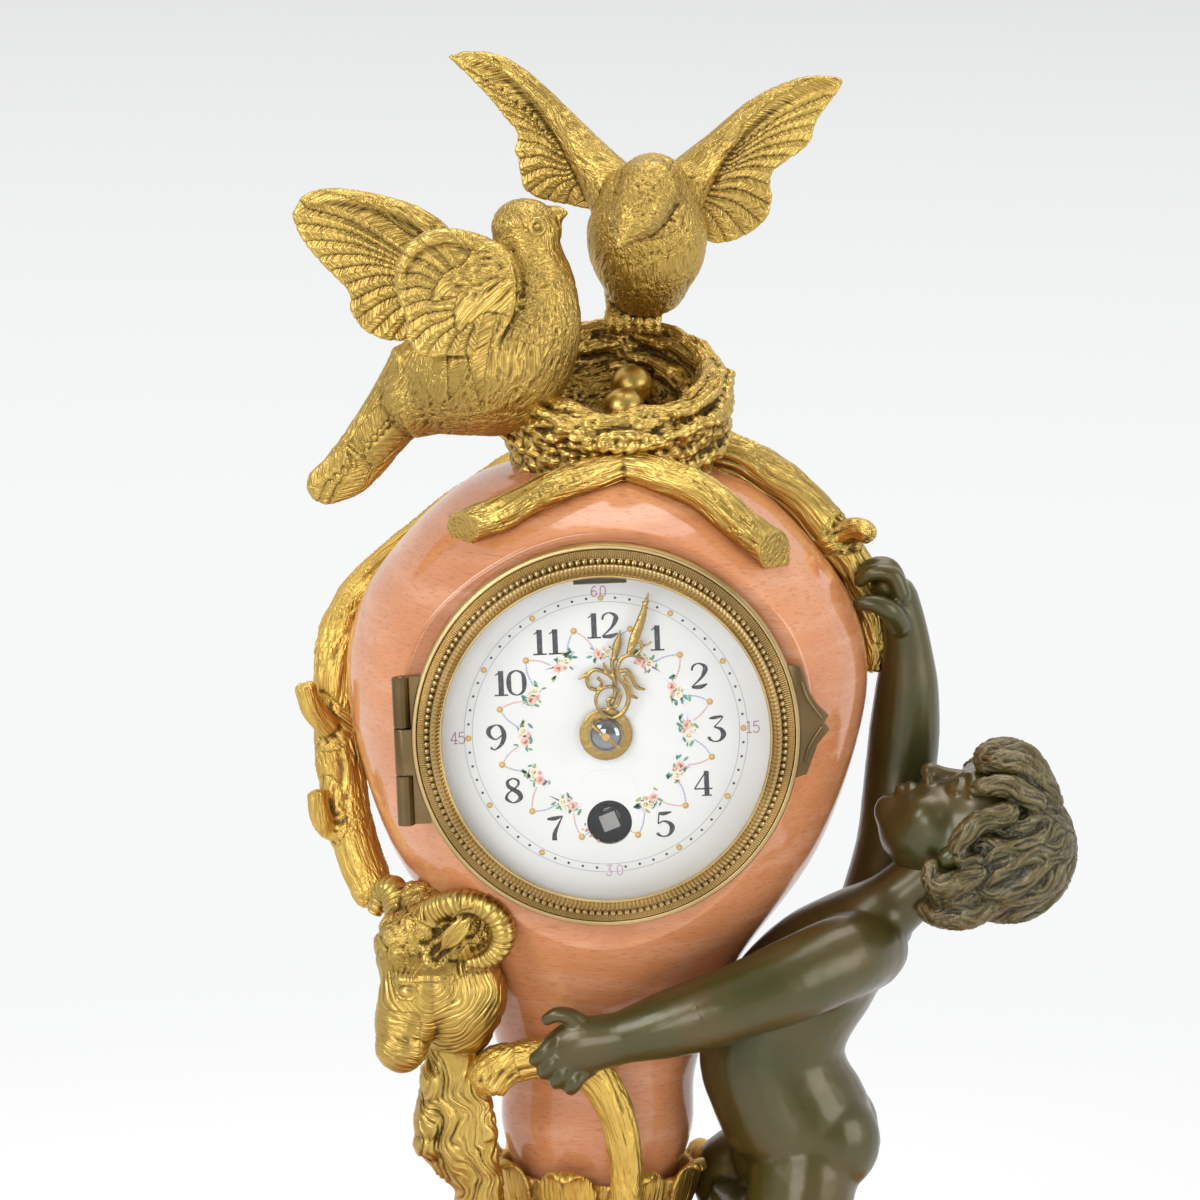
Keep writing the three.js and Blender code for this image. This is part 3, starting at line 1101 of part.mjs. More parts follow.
const doorTo = backDoorFrom + BACK_DOOR_THICK;
const doorDisc = turnedY([
  [0, doorTo + 0.8], [BACK_DOOR_RADIUS - 4, doorTo], [BACK_DOOR_RADIUS - 2, backDoorFrom],
  [BACK_DOOR_RADIUS, backDoorFrom], [BACK_DOOR_RADIUS, doorTo],
  [BACK_DOOR_RADIUS - 2, doorTo + 0.6], [0, doorTo + 2.4],
], 32);
const doorKnob = turnedY([
  [0, doorTo], [1.4, doorTo], [1.2, doorTo + 3], [2.4, doorTo + 4.4], [0, doorTo + 5.6],
], 10).translate(BACK_DOOR_RADIUS - 4, 0, 0);
const backKnuckle = knuckle(
  backPinAt, -backThird / 2, backThird / 2, [backDoorFrom + 0.1, doorTo - 0.1], 2 - BACK_DOOR_RADIUS,
);
mesh('back_door', cut(join(doorDisc, doorKnob, backKnuckle), backPinHole), oldBrass, clock);

export default clockPart;
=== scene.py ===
import json
import math
import random

import bmesh
import bpy
import numpy as np
from mathutils import Matrix, Vector, noise
from mathutils.kdtree import KDTree


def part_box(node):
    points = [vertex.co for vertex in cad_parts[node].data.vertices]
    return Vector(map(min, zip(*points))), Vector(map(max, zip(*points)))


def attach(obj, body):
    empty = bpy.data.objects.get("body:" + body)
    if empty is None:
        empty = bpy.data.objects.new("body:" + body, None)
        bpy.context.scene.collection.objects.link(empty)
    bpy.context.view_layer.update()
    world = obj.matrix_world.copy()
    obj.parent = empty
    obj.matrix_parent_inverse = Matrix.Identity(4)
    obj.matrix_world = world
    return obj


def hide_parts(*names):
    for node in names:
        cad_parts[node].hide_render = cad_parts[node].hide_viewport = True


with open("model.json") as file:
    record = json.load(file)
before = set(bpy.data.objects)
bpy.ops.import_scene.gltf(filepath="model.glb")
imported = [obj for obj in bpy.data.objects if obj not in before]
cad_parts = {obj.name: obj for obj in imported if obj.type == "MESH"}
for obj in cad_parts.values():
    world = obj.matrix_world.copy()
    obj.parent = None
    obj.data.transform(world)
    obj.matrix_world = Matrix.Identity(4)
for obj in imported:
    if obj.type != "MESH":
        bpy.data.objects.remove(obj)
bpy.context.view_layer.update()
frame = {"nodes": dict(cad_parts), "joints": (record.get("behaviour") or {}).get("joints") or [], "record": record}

# Studio: a plain pale floor that fades to white behind the clock, soft lamps, and a room that is
# pale at the sides and darker behind the camera, which gives the polished metal its contrast.
joint_at = {joint["name"]: Vector(joint["pos_m"]) for joint in frame["joints"]}
dial_centre = joint_at["minute_hand_turn"]
scene = bpy.context.scene
scene.view_settings.view_transform = "Standard"


def node(tree, kind, inputs=(), **settings):
    """A shader node with its settings. Each input is a value or another node's output."""
    made = tree.nodes.new("ShaderNode" + kind)
    for key, value in settings.items():
        setattr(made, key, value)
    plug(tree, made, inputs)
    return made


def plug(tree, made, inputs):
    """Sets or links the inputs of a node that is already there."""
    for key, value in dict(inputs).items():
        if isinstance(value, bpy.types.NodeSocket):
            tree.links.new(value, made.inputs[key])
        else:
            made.inputs[key].default_value = value


def new_material(name):
    """An empty node material: (material, its node tree, its Principled shader)."""
    made = bpy.data.materials.new(name)
    made.use_nodes = True
    return made, made.node_tree, made.node_tree.nodes["Principled BSDF"]


def math_node(tree, operation, a, b):
    """One step of arithmetic on two values of a node tree."""
    return node(tree, "Math", {0: a, 1: b}, operation=operation).outputs[0]


def pale_to_eye(tree):
    """1 for the camera and for what polished metal and glass see, 0 for the light itself."""
    path = node(tree, "LightPath").outputs
    seen = math_node(tree, "MAXIMUM", path["Is Camera Ray"], path["Is Glossy Ray"])
    return math_node(tree, "MAXIMUM", seen, path["Is Transmission Ray"])


floor_mesh = bmesh.new()
bmesh.ops.create_grid(floor_mesh, x_segments=1, y_segments=1, size=14)
floor_data = bpy.data.meshes.new("floor")
floor_mesh.to_mesh(floor_data)
floor_mesh.free()
floor = bpy.data.objects.new("floor", floor_data)
scene.collection.objects.link(floor)
FLOOR_NEAR, FLOOR_FAR = 0.945, 0.775
pale, tree, shader = new_material("pale floor")
plug(tree, shader, {"Base Color": (0.78, 0.78, 0.78, 1), "Roughness": 0.7})
from_clock = node(tree, "VectorMath", {0: node(tree, "TexCoord").outputs["Object"]}, operation="LENGTH")
reach = from_clock.outputs["Value"]
far = node(tree, "MapRange", {
    "Value": reach, "From Min": 0.14, "From Max": 0.5,
}, interpolation_type="SMOOTHSTEP").outputs[0]
dimming = node(tree, "MapRange", {
    "Value": reach, "From Min": 1.2, "From Max": 4.2, "To Min": FLOOR_NEAR, "To Max": FLOOR_FAR,
}).outputs[0]
white = node(tree, "Emission", {"Color": (0.99, 0.996, 1, 1), "Strength": dimming})
fading = node(tree, "MixShader", {
    0: math_node(tree, "MULTIPLY", far, pale_to_eye(tree)), 1: shader.outputs[0], 2: white.outputs[0],
})
tree.links.new(fading.outputs[0], tree.nodes["Material Output"].inputs["Surface"])
floor_data.materials.append(pale)

ROOM_LIGHT = 1.0
world = bpy.data.worlds.new("studio")
world.use_nodes = True
scene.world = world
tree = world.node_tree
way = node(tree, "SeparateXYZ", {0: node(tree, "TexCoord").outputs["Generated"]})
depth = node(tree, "Math", {0: way.outputs["Y"], 1: 0.5, 2: 0.5}, operation="MULTIPLY_ADD")
room = node(tree, "ValToRGB", {"Fac": depth.outputs[0]})
room.color_ramp.elements[0].position = 0.1
room.color_ramp.elements[0].color = (0.3, 0.3, 0.31, 1)
room.color_ramp.elements[1].position = 0.55
room.color_ramp.elements[1].color = (1, 1, 1, 1)
strength = node(tree, "MapRange", {"Value": pale_to_eye(tree), "To Min": ROOM_LIGHT, "To Max": 0.9})
plug(tree, tree.nodes["Background"], {"Color": room.outputs[0], "Strength": strength.outputs[0]})

lamps = {
    "key": ((-0.8, -0.85, 0.8), 0.6, 7.5),
    "fill": ((0.95, -0.6, 0.4), 0.7, 5),
    "top": ((0.1, 0.2, 1.2), 0.8, 5.5),
    "front": ((-0.3, -1.35, 0.3), 0.5, 4),
}
for name, (place, size, power) in lamps.items():
    light = bpy.data.lights.new(name, "AREA")
    light.size = size
    light.energy = power
    lamp = bpy.data.objects.new(name, light)
    lamp.location = place
    lamp.rotation_euler = (dial_centre - lamp.location).to_track_quat("-Z", "Y").to_euler()
    scene.collection.objects.link(lamp)

# Camera: a long lens a little above the dial, with the frame very slightly rolled, close enough
# that the plinth falls outside the picture.
CAMERA_DISTANCE = 1.25
CAMERA_DOWN = math.radians(10)
CAMERA_ROLL = math.radians(1.25)
FRAME_WIDTH = 0.24
CAMERA_SHIFT = Vector((-0.0012, 0.0262, 0))
lens = bpy.data.cameras.new("camera")
lens.lens = lens.sensor_width * CAMERA_DISTANCE / FRAME_WIDTH
lens.clip_start, lens.clip_end = 0.05, 30
camera = bpy.data.objects.new("camera", lens)
scene.collection.objects.link(camera)
scene.camera = camera
tilt = Matrix.Rotation(math.pi / 2 - CAMERA_DOWN, 4, "X") @ Matrix.Rotation(CAMERA_ROLL, 4, "Z")
aim = Matrix.Translation(dial_centre) @ tilt
camera.matrix_world = aim @ Matrix.Translation(CAMERA_SHIFT + Vector((0, 0, CAMERA_DISTANCE)))

# Plinth: an oblong slab of the same peach marble as the body, sawn, rounded at the ends and
# polished. The nut of the tie rod draws the pedestal down on it from below.
pear_frame = Matrix.Translation((dial_centre.x, 0, dial_centre.z)) @ Matrix.Scale(0.001, 4)
millimetres = Matrix.Scale(0.001, 4)


def ramp(tree, factor, *stops):
    """A colour band over a factor, from stops of (position, colour)."""
    made = node(tree, "ValToRGB", {"Fac": factor})
    elements = made.color_ramp.elements
    for k, (position, colour) in enumerate(stops):
        stop = elements[k] if k < 2 else elements.new(position)
        stop.position, stop.color = position, (*colour, 1)
    return made.outputs["Color"]


def blend(tree, factor, a, b):
    """Colour a where the factor is 0 and colour b where it is 1."""
    return node(tree, "Mix", {0: factor, 6: a, 7: b}, data_type="RGBA").outputs[2]


def smooth_step(tree, value, low, high):
    """0 below the low value and 1 above the high one."""
    made = node(tree, "MapRange", {
        "Value": value, "From Min": low, "From Max": high,
    }, interpolation_type="SMOOTHSTEP")
    return made.outputs[0]


def as_mesh(bm, sharp=40):
    """A mesh from a finished bmesh, faces outwards, smooth but for edges sharper than an angle."""
    bmesh.ops.remove_doubles(bm, verts=bm.verts, dist=1e-4)
    bmesh.ops.recalc_face_normals(bm, faces=bm.faces)
    data = bpy.data.meshes.new("piece")
    bm.to_mesh(data)
    bm.free()
    data.shade_smooth()
    data.set_sharp_from_angle(angle=math.radians(sharp))
    return data


def fit(name, data, finish, stands_for=(), body="case", place=pear_frame):
    """Puts a finished mesh in its place on the clock and hides the imported solids it stands for."""
    data.transform(place)
    data.materials.append(finish)
    made = bpy.data.objects.new(name, data)
    scene.collection.objects.link(made)
    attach(made, body)
    if stands_for:
        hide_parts(*stands_for)
    return made


def mottle(tree, where, scale, detail, **more):
    """Noise over a surface, from 0 to 1."""
    made = node(tree, "TexNoise", {"Vector": where, "Scale": scale, "Detail": detail, **more})
    return made.outputs["Fac"]


def ease(bm, edges, reach, segments):
    """Rounds edges off."""
    bmesh.ops.bevel(
        bm, geom=edges, offset=reach, segments=segments, profile=0.5, affect="EDGES", material=-1,
    )


marble, tree, shader = new_material("peach marble")
where = node(tree, "TexCoord").outputs["Object"]
drift = mottle(tree, where, 26, 5, Distortion=0.7)
slant = node(tree, "Mapping", {
    "Vector": where, "Rotation": (0.1, math.radians(-14), 0.2), "Scale": (1, 1, 6),
}).outputs[0]
fibre = mottle(tree, slant, 430, 4, Roughness=0.65)
band = mottle(tree, slant, 45, 3)
ground = ramp(
    tree, drift, (0.3, (0.5, 0.19, 0.078)), (0.7, (0.62, 0.265, 0.12)), (0.5, (0.56, 0.225, 0.095)),
)
streaked = blend(tree, smooth_step(tree, band, 0.45, 0.75), ground, (0.63, 0.3, 0.16, 1))
fleck = math_node(tree, "MULTIPLY", smooth_step(tree, fibre, 0.5, 0.68), 0.5)
flecked = blend(tree, fleck, streaked, (0.36, 0.12, 0.055, 1))
worn = mottle(tree, where, 90, 3)
gloss = node(tree, "MapRange", {"Value": worn, "To Min": 0.06, "To Max": 0.16}).outputs[0]
plug(tree, shader, {"Base Color": flecked, "Roughness": gloss, "IOR": 1.55})

PLINTH = (170, 112, 18)
PLINTH_CORNER = 40
PLINTH_EDGE = 3
PLINTH_BOTTOM = 9.3
slab = bmesh.new()
bmesh.ops.create_cube(slab, size=1, matrix=Matrix.Diagonal((*PLINTH, 1)))
upright = [e for e in slab.edges if abs(e.verts[0].co.z - e.verts[1].co.z) > 1]
ease(slab, upright, PLINTH_CORNER, 20)
rims = [e for e in slab.edges if abs(e.verts[0].co.z - e.verts[1].co.z) < 0.01]
ease(slab, rims, PLINTH_EDGE, 5)
bmesh.ops.translate(slab, verts=slab.verts, vec=(0, 0, PLINTH_BOTTOM + PLINTH[2] / 2))
fit("plinth_slab", as_mesh(slab), marble, ["plinth"], place=millimetres)

# Feet: four turned gilt-brass buns, each screwed up into a corner of the plinth.
# The same mercury gilding covers them as the mounts above: lighter on the heights, rubbed wear with a
# painted highlight, and umber in the hollows, grime with painted shade.


def make_group(name, inputs, outputs):
    """A shader node group with named sockets: (group, its inputs, its output node)."""
    group = bpy.data.node_groups.new(name, "ShaderNodeTree")
    for label, kind, value in inputs:
        group.interface.new_socket(label, in_out="INPUT", socket_type=kind).default_value = value
    for label, kind in outputs:
        group.interface.new_socket(label, in_out="OUTPUT", socket_type=kind)
    return group, group.nodes.new("NodeGroupInput").outputs, group.nodes.new("NodeGroupOutput")


COLOUR, NUMBER = "NodeSocketColor", "NodeSocketFloat"
# Shared finish of the cast metals: a random tone, then a dark colour in the hollows that the recess attribute
# finds, which is grime with painted shade, and a light colour on the ridges, which is rubbed wear with a painted
# highlight.
patina_and_shading, enter, leave = make_group("cast metal patina", [
    ("Metal", COLOUR, (0.74, 0.53, 0.16, 1)), ("Dull", COLOUR, (0.5, 0.35, 0.1, 1)),
    ("Grime", COLOUR, (0.12, 0.08, 0.03, 1)), ("Grime Level", NUMBER, 0.9),
    ("Rub", COLOUR, (0.5, 0.33, 0.12, 1)), ("Rub Share", NUMBER, 0.0),
    ("Gloss", NUMBER, 0.25), ("Grain", NUMBER, 900.0), ("Stroke", NUMBER, 1.0),
], [("Color", COLOUR), ("Roughness", NUMBER), ("Height", NUMBER)])
recess = node(patina_and_shading, "Attribute", attribute_name="recess").outputs["Fac"]
lay = node(patina_and_shading, "Attribute", attribute_name="lay").outputs["Vector"]
where = node(patina_and_shading, "TexCoord").outputs["Object"]
cloud = mottle(patina_and_shading, where, 55, 4)
speck = mottle(patina_and_shading, where, enter["Grain"], 5, Roughness=0.7)
hairs = mottle(patina_and_shading, lay, enter["Stroke"], 2)
parting = math_node(patina_and_shading, "ABSOLUTE", math_node(patina_and_shading, "SUBTRACT", hairs, 0.5), 0)
groove = smooth_step(patina_and_shading, parting, 0.02, 0.17)


def plus(tree, base, share, more):
    """A base value with a share of another one added."""
    return node(tree, "Math", {0: more, 1: share, 2: base}, operation="MULTIPLY_ADD").outputs[0]


# Grime and painted shade: the hollows, with noise and the chased strokes, take the dark colour.
stain_and_shade = plus(patina_and_shading, plus(patina_and_shading, plus(patina_and_shading, recess, 0.35, cloud), 0.3, speck), 0.2, groove)
grime_and_shade = smooth_step(patina_and_shading, math_node(patina_and_shading, "SUBTRACT", stain_and_shade, enter["Grime Level"]), 0.0, 0.42)
tone = blend(patina_and_shading, smooth_step(patina_and_shading, cloud, 0.35, 0.7), enter["Metal"], enter["Dull"])
# Rubbed wear and painted highlight: the ridges, where the recess value is low, take the light colour by its share.
height = math_node(patina_and_shading, "SUBTRACT", 1.0, smooth_step(patina_and_shading, recess, 0.12, 0.45))
rub_and_highlight = blend(patina_and_shading, math_node(patina_and_shading, "MULTIPLY", height, enter["Rub Share"]), tone, enter["Rub"])
plug(patina_and_shading, leave, {
    "Color": blend(patina_and_shading, grime_and_shade, rub_and_highlight, enter["Grime"]),
    "Roughness": plus(patina_and_shading, plus(patina_and_shading, enter["Gloss"], 0.16, speck), 0.25, grime_and_shade),
    "Height": plus(patina_and_shading, math_node(patina_and_shading, "MULTIPLY", speck, 0.3), -1.0, groove),
})
BUMP_DEPTH = 0.0003
LACQUER_HAZE = 0.22


def cast_metal(name, bump, metallic=1.0, coat=0.0, **values):
    """A metal finish whose colour, gloss and fine grain come from the patina group."""
    made, tree, shader = new_material(name)
    skin = node(tree, "Group", node_tree=patina_and_shading)
    plug(tree, skin, {key.replace("_", " "): value for key, value in values.items()})
    grain = node(tree, "Bump", {
        "Height": skin.outputs["Height"], "Strength": bump, "Distance": BUMP_DEPTH,
    })
    plug(tree, shader, {
        "Base Color": skin.outputs["Color"], "Roughness": skin.outputs["Roughness"],
        "Normal": grain.outputs[0], "Metallic": metallic, "Coat Weight": coat,
        "Coat Roughness": LACQUER_HAZE,
    })
    return made


def spun(profile, steps, axis=(0, 0, 1)):
    """A turned bmesh from a profile of (radius, place along the axis)."""
    bm = bmesh.new()
    out = Vector((1, 0, 0))
    row = [bm.verts.new(out * r + Vector(axis) * a) for r, a in profile]
    edges = [bm.edges.new(pair) for pair in zip(row, row[1:])]
    bmesh.ops.spin(
        bm, geom=row + edges, axis=axis, cent=(0, 0, 0), angle=math.tau, steps=steps,
        use_merge=True,
    )
    bmesh.ops.remove_doubles(bm, verts=bm.verts, dist=1e-4)
    bmesh.ops.recalc_face_normals(bm, faces=bm.faces)
    return bm


# The gildings' dark colour in the hollows is grime with painted shade; the burnished gilding's light colour on the
# ridges is rubbed wear with a painted highlight.
burnished = cast_metal(
    "burnished gilding", 0.55, Metal=(0.53, 0.356, 0.092, 1), Dull=(0.41, 0.27, 0.07, 1),
    Grime=(0.105, 0.065, 0.022, 1), Grime_Level=0.95, Rub=(0.76, 0.54, 0.15, 1), Rub_Share=0.4,
    Gloss=0.25, Grain=1100,
)
matt = cast_metal(
    "matt gilding", 0.6, Metal=(0.72, 0.49, 0.12, 1), Dull=(0.62, 0.41, 0.1, 1),
    Grime=(0.24, 0.16, 0.065, 1), Grime_Level=0.97, Gloss=0.38, Grain=1500,
)
FOOT_HEIGHT = 9
foot_profile = [
    (0, 0), (4.3, 0), (4.9, 0.4), (6.6, 2), (7.4, 3.6), (7.4, 4.6), (6.7, 5.8), (5.6, 6.5),
    (5.3, 7), (6.1, 7.5), (6.4, 8.2), (6.2, FOOT_HEIGHT), (0, FOOT_HEIGHT),
]
for k in range(1, 5):
    low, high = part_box(f"foot_{k}")
    middle = (Vector(low) + Vector(high)) / 2
    stand = Matrix.Translation((middle.x, middle.y, 0)) @ millimetres
    foot = as_mesh(spun(foot_profile, 40))
    fit(f"turned_foot_{k}", foot, burnished, [f"foot_{k}"], place=stand)

# Pedestal: a turned gilt-brass stand between plinth and body, cast hollow and finished on the lathe.
# The tie rod runs through it.
PLINTH_TOP = -140.6
PEDESTAL_TOP = -99.8
COLLAR_FOOT = PEDESTAL_TOP - 8
pedestal_profile = [
    (0, PLINTH_TOP + 0.3), (20, PLINTH_TOP + 0.3), (20, PLINTH_TOP + 3), (19.2, PLINTH_TOP + 3.6),
    (19.2, PLINTH_TOP + 4.6), (18.4, PLINTH_TOP + 6), (16, PLINTH_TOP + 8), (14, PLINTH_TOP + 12),
    (13, PLINTH_TOP + 16), (12.9, PLINTH_TOP + 19), (13.4, COLLAR_FOOT - 9), (15, COLLAR_FOOT - 6),
    (18, COLLAR_FOOT - 3.6), (19, COLLAR_FOOT - 2.8), (19, COLLAR_FOOT - 0.9), (18.4, COLLAR_FOOT - 0.3),
    (14.5, COLLAR_FOOT - 0.3), (14.5, PEDESTAL_TOP), (0, PEDESTAL_TOP),
]
fit("turned_pedestal", as_mesh(spun(pedestal_profile, 96)), burnished, ["pedestal"])

# Marble body: a pear turned from one block, with a flat facet ground at the front and at the back
# for the clock, and a bore between them. The facets' edges are eased and the whole is polished.
FACET = 34.5
BORE = 33
PEAR_STEPS = 168
CUT_MERGE = 1.2
RIM_WELD = 1.4
RIM_EASE = 0.6
MARBLE_OUTLINE = [
    (17, -99.5), (19.8, -89.5), (20.5, -75.5), (28.4, -54), (44.5, -29), (53, 0), (51.3, 18),
    (42.7, 32), (29, 44.8), (12.2, 50.3), (0, 51),
]


def flow(stations, steps):
    """Points along a smooth curve through the stations, each with all of a station's numbers."""
    rows = np.array([*stations[:1], *stations, *stations[-1:]], dtype=float)
    points = []
    for a, b, c, d in zip(rows, rows[1:], rows[2:], rows[3:]):
        for t in np.arange(steps) / steps:
            points.append(0.5 * (
                2 * b + (c - a) * t + (2 * a - 5 * b + 4 * c - d) * t**2 + (3 * b - a - 3 * c + d) * t**3
            ))
    points.append(rows[-1])
    return points


def verts_in(geom):
    """The points among the parts that an operator gives back."""
    return [part for part in geom if isinstance(part, bmesh.types.BMVert)]


pear_profile = [(0, MARBLE_OUTLINE[0][1]), *[tuple(p) for p in flow(MARBLE_OUTLINE, 8)]]
pear = spun(pear_profile, PEAR_STEPS)
facet_loops = []
for side in (-1, 1):
    cutting = bmesh.ops.bisect_plane(
        pear, geom=[*pear.verts, *pear.edges, *pear.faces], plane_co=(0, side * FACET, 0),
        plane_no=(0, side, 0), clear_outer=True,
    )
    bmesh.ops.remove_doubles(pear, verts=verts_in(cutting["geom_cut"]), dist=CUT_MERGE)
    cut_points = [v for v in pear.verts if abs(v.co.y - side * FACET) < 1e-3]
    finder = KDTree(len(cut_points))
    for k, vert in enumerate(cut_points):
        finder.insert(vert.co, k)
    finder.balance()
    onto_rim = {}
    for vert in pear.verts:
        _, k, gap = finder.find(vert.co)
        if 0 < gap < RIM_WELD:
            onto_rim[vert] = cut_points[k]
    bmesh.ops.weld_verts(pear, targetmap=onto_rim)
    rim = [e for e in pear.edges if e.is_boundary and abs(e.verts[0].co.y - side * FACET) < 0.01]
    turn = Matrix.Translation((0, side * FACET, 0)) @ Matrix.Rotation(math.pi / 2, 4, "X")
    ring = bmesh.ops.create_circle(pear, segments=120, radius=BORE, matrix=turn)["verts"]
    circle = list({e for v in ring for e in v.link_edges})
    bmesh.ops.bridge_loops(pear, edges=rim + circle)
    facet_loops.append((rim, circle))
bmesh.ops.bridge_loops(pear, edges=facet_loops[0][1] + facet_loops[1][1])
eased = [e for rim, _ in facet_loops for e in rim if e.is_valid]
ease(pear, eased, RIM_EASE, 4)
pear_data = as_mesh(pear, 50)
for polygon in pear_data.polygons:
    polygon.use_smooth = abs(abs(polygon.center.y) - FACET) > 0.01
fit("marble_pear", pear_data, marble, ["marble_body"])

# Leaf collar: a cup of cast gilt leaves round the foot of the pear, their tips curled outwards.
# It hides the joint between marble and pedestal.
LEAVES = 9


def limb(bm, stations, sides=12, steps=5, across=(0, 1, 0), blunt=1.0):
    """Adds a tapering limb along a smooth curve. Stations are (x, y, z, radius, radius across)."""
    rows = [(Vector(p[:3]), *p[3:].clip(0.05)) for p in flow([(*s, s[3])[:5] for s in stations], steps)]
    ways = [(after[0] - before[0]).normalized() for before, after in zip(rows, rows[1:])]
    ways = [ways[0], *[(a + b).normalized() for a, b in zip(ways, ways[1:])], ways[-1]]
    rounding = [(0.97, 0.25), (0.8, 0.6), (0.5, 0.87)] if blunt else []
    (start, thick, broad), (end, thin, narrow) = rows[0], rows[-1]
    nose = [(start - ways[0] * thick * blunt * s, thick * c, broad * c) for s, c in rounding]
    tip = [(end + ways[-1] * thin * blunt * s, thin * c, narrow * c) for s, c in reversed(rounding)]
    rows = nose + rows + tip
    ways = [ways[0]] * len(nose) + ways + [ways[-1]] * len(tip)
    tube = bmesh.new()
    last = None
    for (place, thick, broad), along in zip(rows, ways):
        side = (Vector(across) - along * along.dot(across)).normalized()
        here = Matrix((side * broad, along.cross(side) * thick, along)).transposed().to_4x4()
        here.translation = place
        if last is None:
            bmesh.ops.create_circle(tube, cap_ends=True, segments=sides, radius=1, matrix=here)
            edges = list(tube.edges)
        else:
            grown = bmesh.ops.extrude_edge_only(tube, edges=edges)["geom"]
            edges = [e for e in grown if isinstance(e, bmesh.types.BMEdge) and e.is_boundary]
            bmesh.ops.transform(tube, matrix=here @ last.inverted(), verts=verts_in(grown))
        last = here
    bmesh.ops.contextual_create(tube, geom=edges)
    bmesh.ops.recalc_face_normals(tube, faces=tube.faces)
    add_to(bm, tube)


def add_to(bm, part):
    """Moves a finished bmesh into another."""
    data = bpy.data.meshes.new("part")
    part.to_mesh(data)
    part.free()
    bm.from_mesh(data)
    bpy.data.meshes.remove(data)


def lump(bm, place, radii, turn=Matrix()):
    """Adds an egg-shaped lump: its place, its three half sizes, and how it is turned."""
    part = bmesh.new()
    form = Matrix.Translation(place) @ turn.to_4x4() @ Matrix.Diagonal((*radii, 1))
    bmesh.ops.create_uvsphere(part, u_segments=20, v_segments=12, radius=1, matrix=form)
    add_to(bm, part)


def fuse(bm, voxel, relax=3):
    """One seamless skin over overlapping parts, as a casting has."""
    data = bpy.data.meshes.new("rough")
    bm.to_mesh(data)
    bm.free()
    rough = bpy.data.objects.new("rough", data)
    scene.collection.objects.link(rough)
    skin = rough.modifiers.new("skin", "REMESH")
    skin.mode = "VOXEL"
    skin.voxel_size = voxel
    if relax:
        soft = rough.modifiers.new("soft", "SMOOTH")
        soft.factor = 0.5
        soft.iterations = relax
    whole = bpy.data.meshes.new_from_object(rough.evaluated_get(bpy.context.evaluated_depsgraph_get()))
    bpy.data.objects.remove(rough)
    bpy.data.meshes.remove(data)
    whole.shade_smooth()
    return whole


def points_of(data):
    """(places, normals) of a mesh's points."""
    places = np.empty(len(data.vertices) * 3, dtype=np.float32)
    facing = np.empty_like(places)
    data.vertices.foreach_get("co", places)
    data.vertex_normals.foreach_get("vector", facing)
    return places.reshape(-1, 3), facing.reshape(-1, 3)


def chase(data, pattern):
    """Works a surface. pattern(number, place, normal) gives its height in mm and its strokes' lay."""
    places, facing = points_of(data)
    work = [pattern(k, Vector(p), Vector(n)) for k, (p, n) in enumerate(zip(places, facing))]
    lifts = np.array([height for height, _ in work])
    data.vertices.foreach_set("co", (places + facing * lifts[:, None]).astype(np.float32).ravel())
    lay = data.attributes.new("lay", "FLOAT_VECTOR", "POINT")
    lay.data.foreach_set("vector", np.array([tuple(lie) for _, lie in work], dtype=np.float32).ravel())
    data.update()
    mark_recess(data)


def mark_recess(data, reach=0.22):
    """Stores how deep each point lies among its neighbours: 0 on a ridge, 1 in a groove."""
    places, facing = points_of(data)
    pairs = np.empty(len(data.edges) * 2, dtype=np.int32)
    data.edges.foreach_get("vertices", pairs)
    a, b = pairs.reshape(-1, 2).T
    count = len(places)
    degree = np.maximum(np.bincount(pairs, minlength=count), 1)
    soft = places.astype(float)
    depths = []
    for rounds in (7, 30):
        for _ in range(rounds):
            total = [
                np.bincount(a, soft[b, k], count) + np.bincount(b, soft[a, k], count) for k in range(3)
            ]
            soft = np.stack(total, axis=1) / degree[:, None]
        depths.append(((soft - places) * facing).sum(axis=1))
    depth = 0.5 + 0.5 * (depths[0] / reach + 0.35 * depths[1] / (3 * reach))
    # The metal finishes paint shade into the grooves by this value, and a highlight onto the ridges.
    layer = data.attributes.new("recess", "FLOAT", "POINT")
    layer.data.foreach_set("value", depth.clip(0, 1).astype(np.float32))


collar = bmesh.new()
add_to(collar, spun([
    (16, COLLAR_FOOT), (18.6, COLLAR_FOOT), (19.6, COLLAR_FOOT + 4), (20.6, COLLAR_FOOT + 8),
    (20.9, COLLAR_FOOT + 10), (19.5, COLLAR_FOOT + 10), (16, COLLAR_FOOT),
], 72))
for k in range(LEAVES):
    leaf = bmesh.new()
    limb(leaf, [
        (18.4, 0, COLLAR_FOOT + 0.4, 0.9, 3.4), (19.8, 0, COLLAR_FOOT + 4, 1.0, 5.8),
        (20.9, 0, COLLAR_FOOT + 8.6, 1.0, 6.6), (21.7, 0, COLLAR_FOOT + 11.4, 0.9, 5.4),
        (23.2, 0, COLLAR_FOOT + 12.6, 0.8, 3.6), (24.6, 0, COLLAR_FOOT + 11.7, 0.7, 1.8),
    ], steps=4)
    limb(leaf, [
        (19.4, 0, COLLAR_FOOT + 0.6, 0.5), (20.9, 0, COLLAR_FOOT + 5, 0.6),
        (22, 0, COLLAR_FOOT + 10, 0.5), (23.4, 0, COLLAR_FOOT + 13, 0.4),
    ], sides=8, steps=4)
    turn = Matrix.Rotation(math.tau * (k + 0.35) / LEAVES, 3, "Z")
    bmesh.ops.rotate(leaf, verts=leaf.verts, matrix=turn)
    add_to(collar, leaf)
cup = fuse(collar, 0.42)


def leaf_veins(k, place, normal):
    """Soft hammering with fine veins that run up the leaves."""
    around = math.atan2(place.y, place.x) * 20
    dent = noise.noise(Vector((place.x, place.y, place.z * 0.35)) * 0.9)
    return 0.16 * dent, (around, 0, place.z * 0.12)


chase(cup, leaf_veins)
fit("collar_of_leaves", cup, matt, ["leaf_collar"])

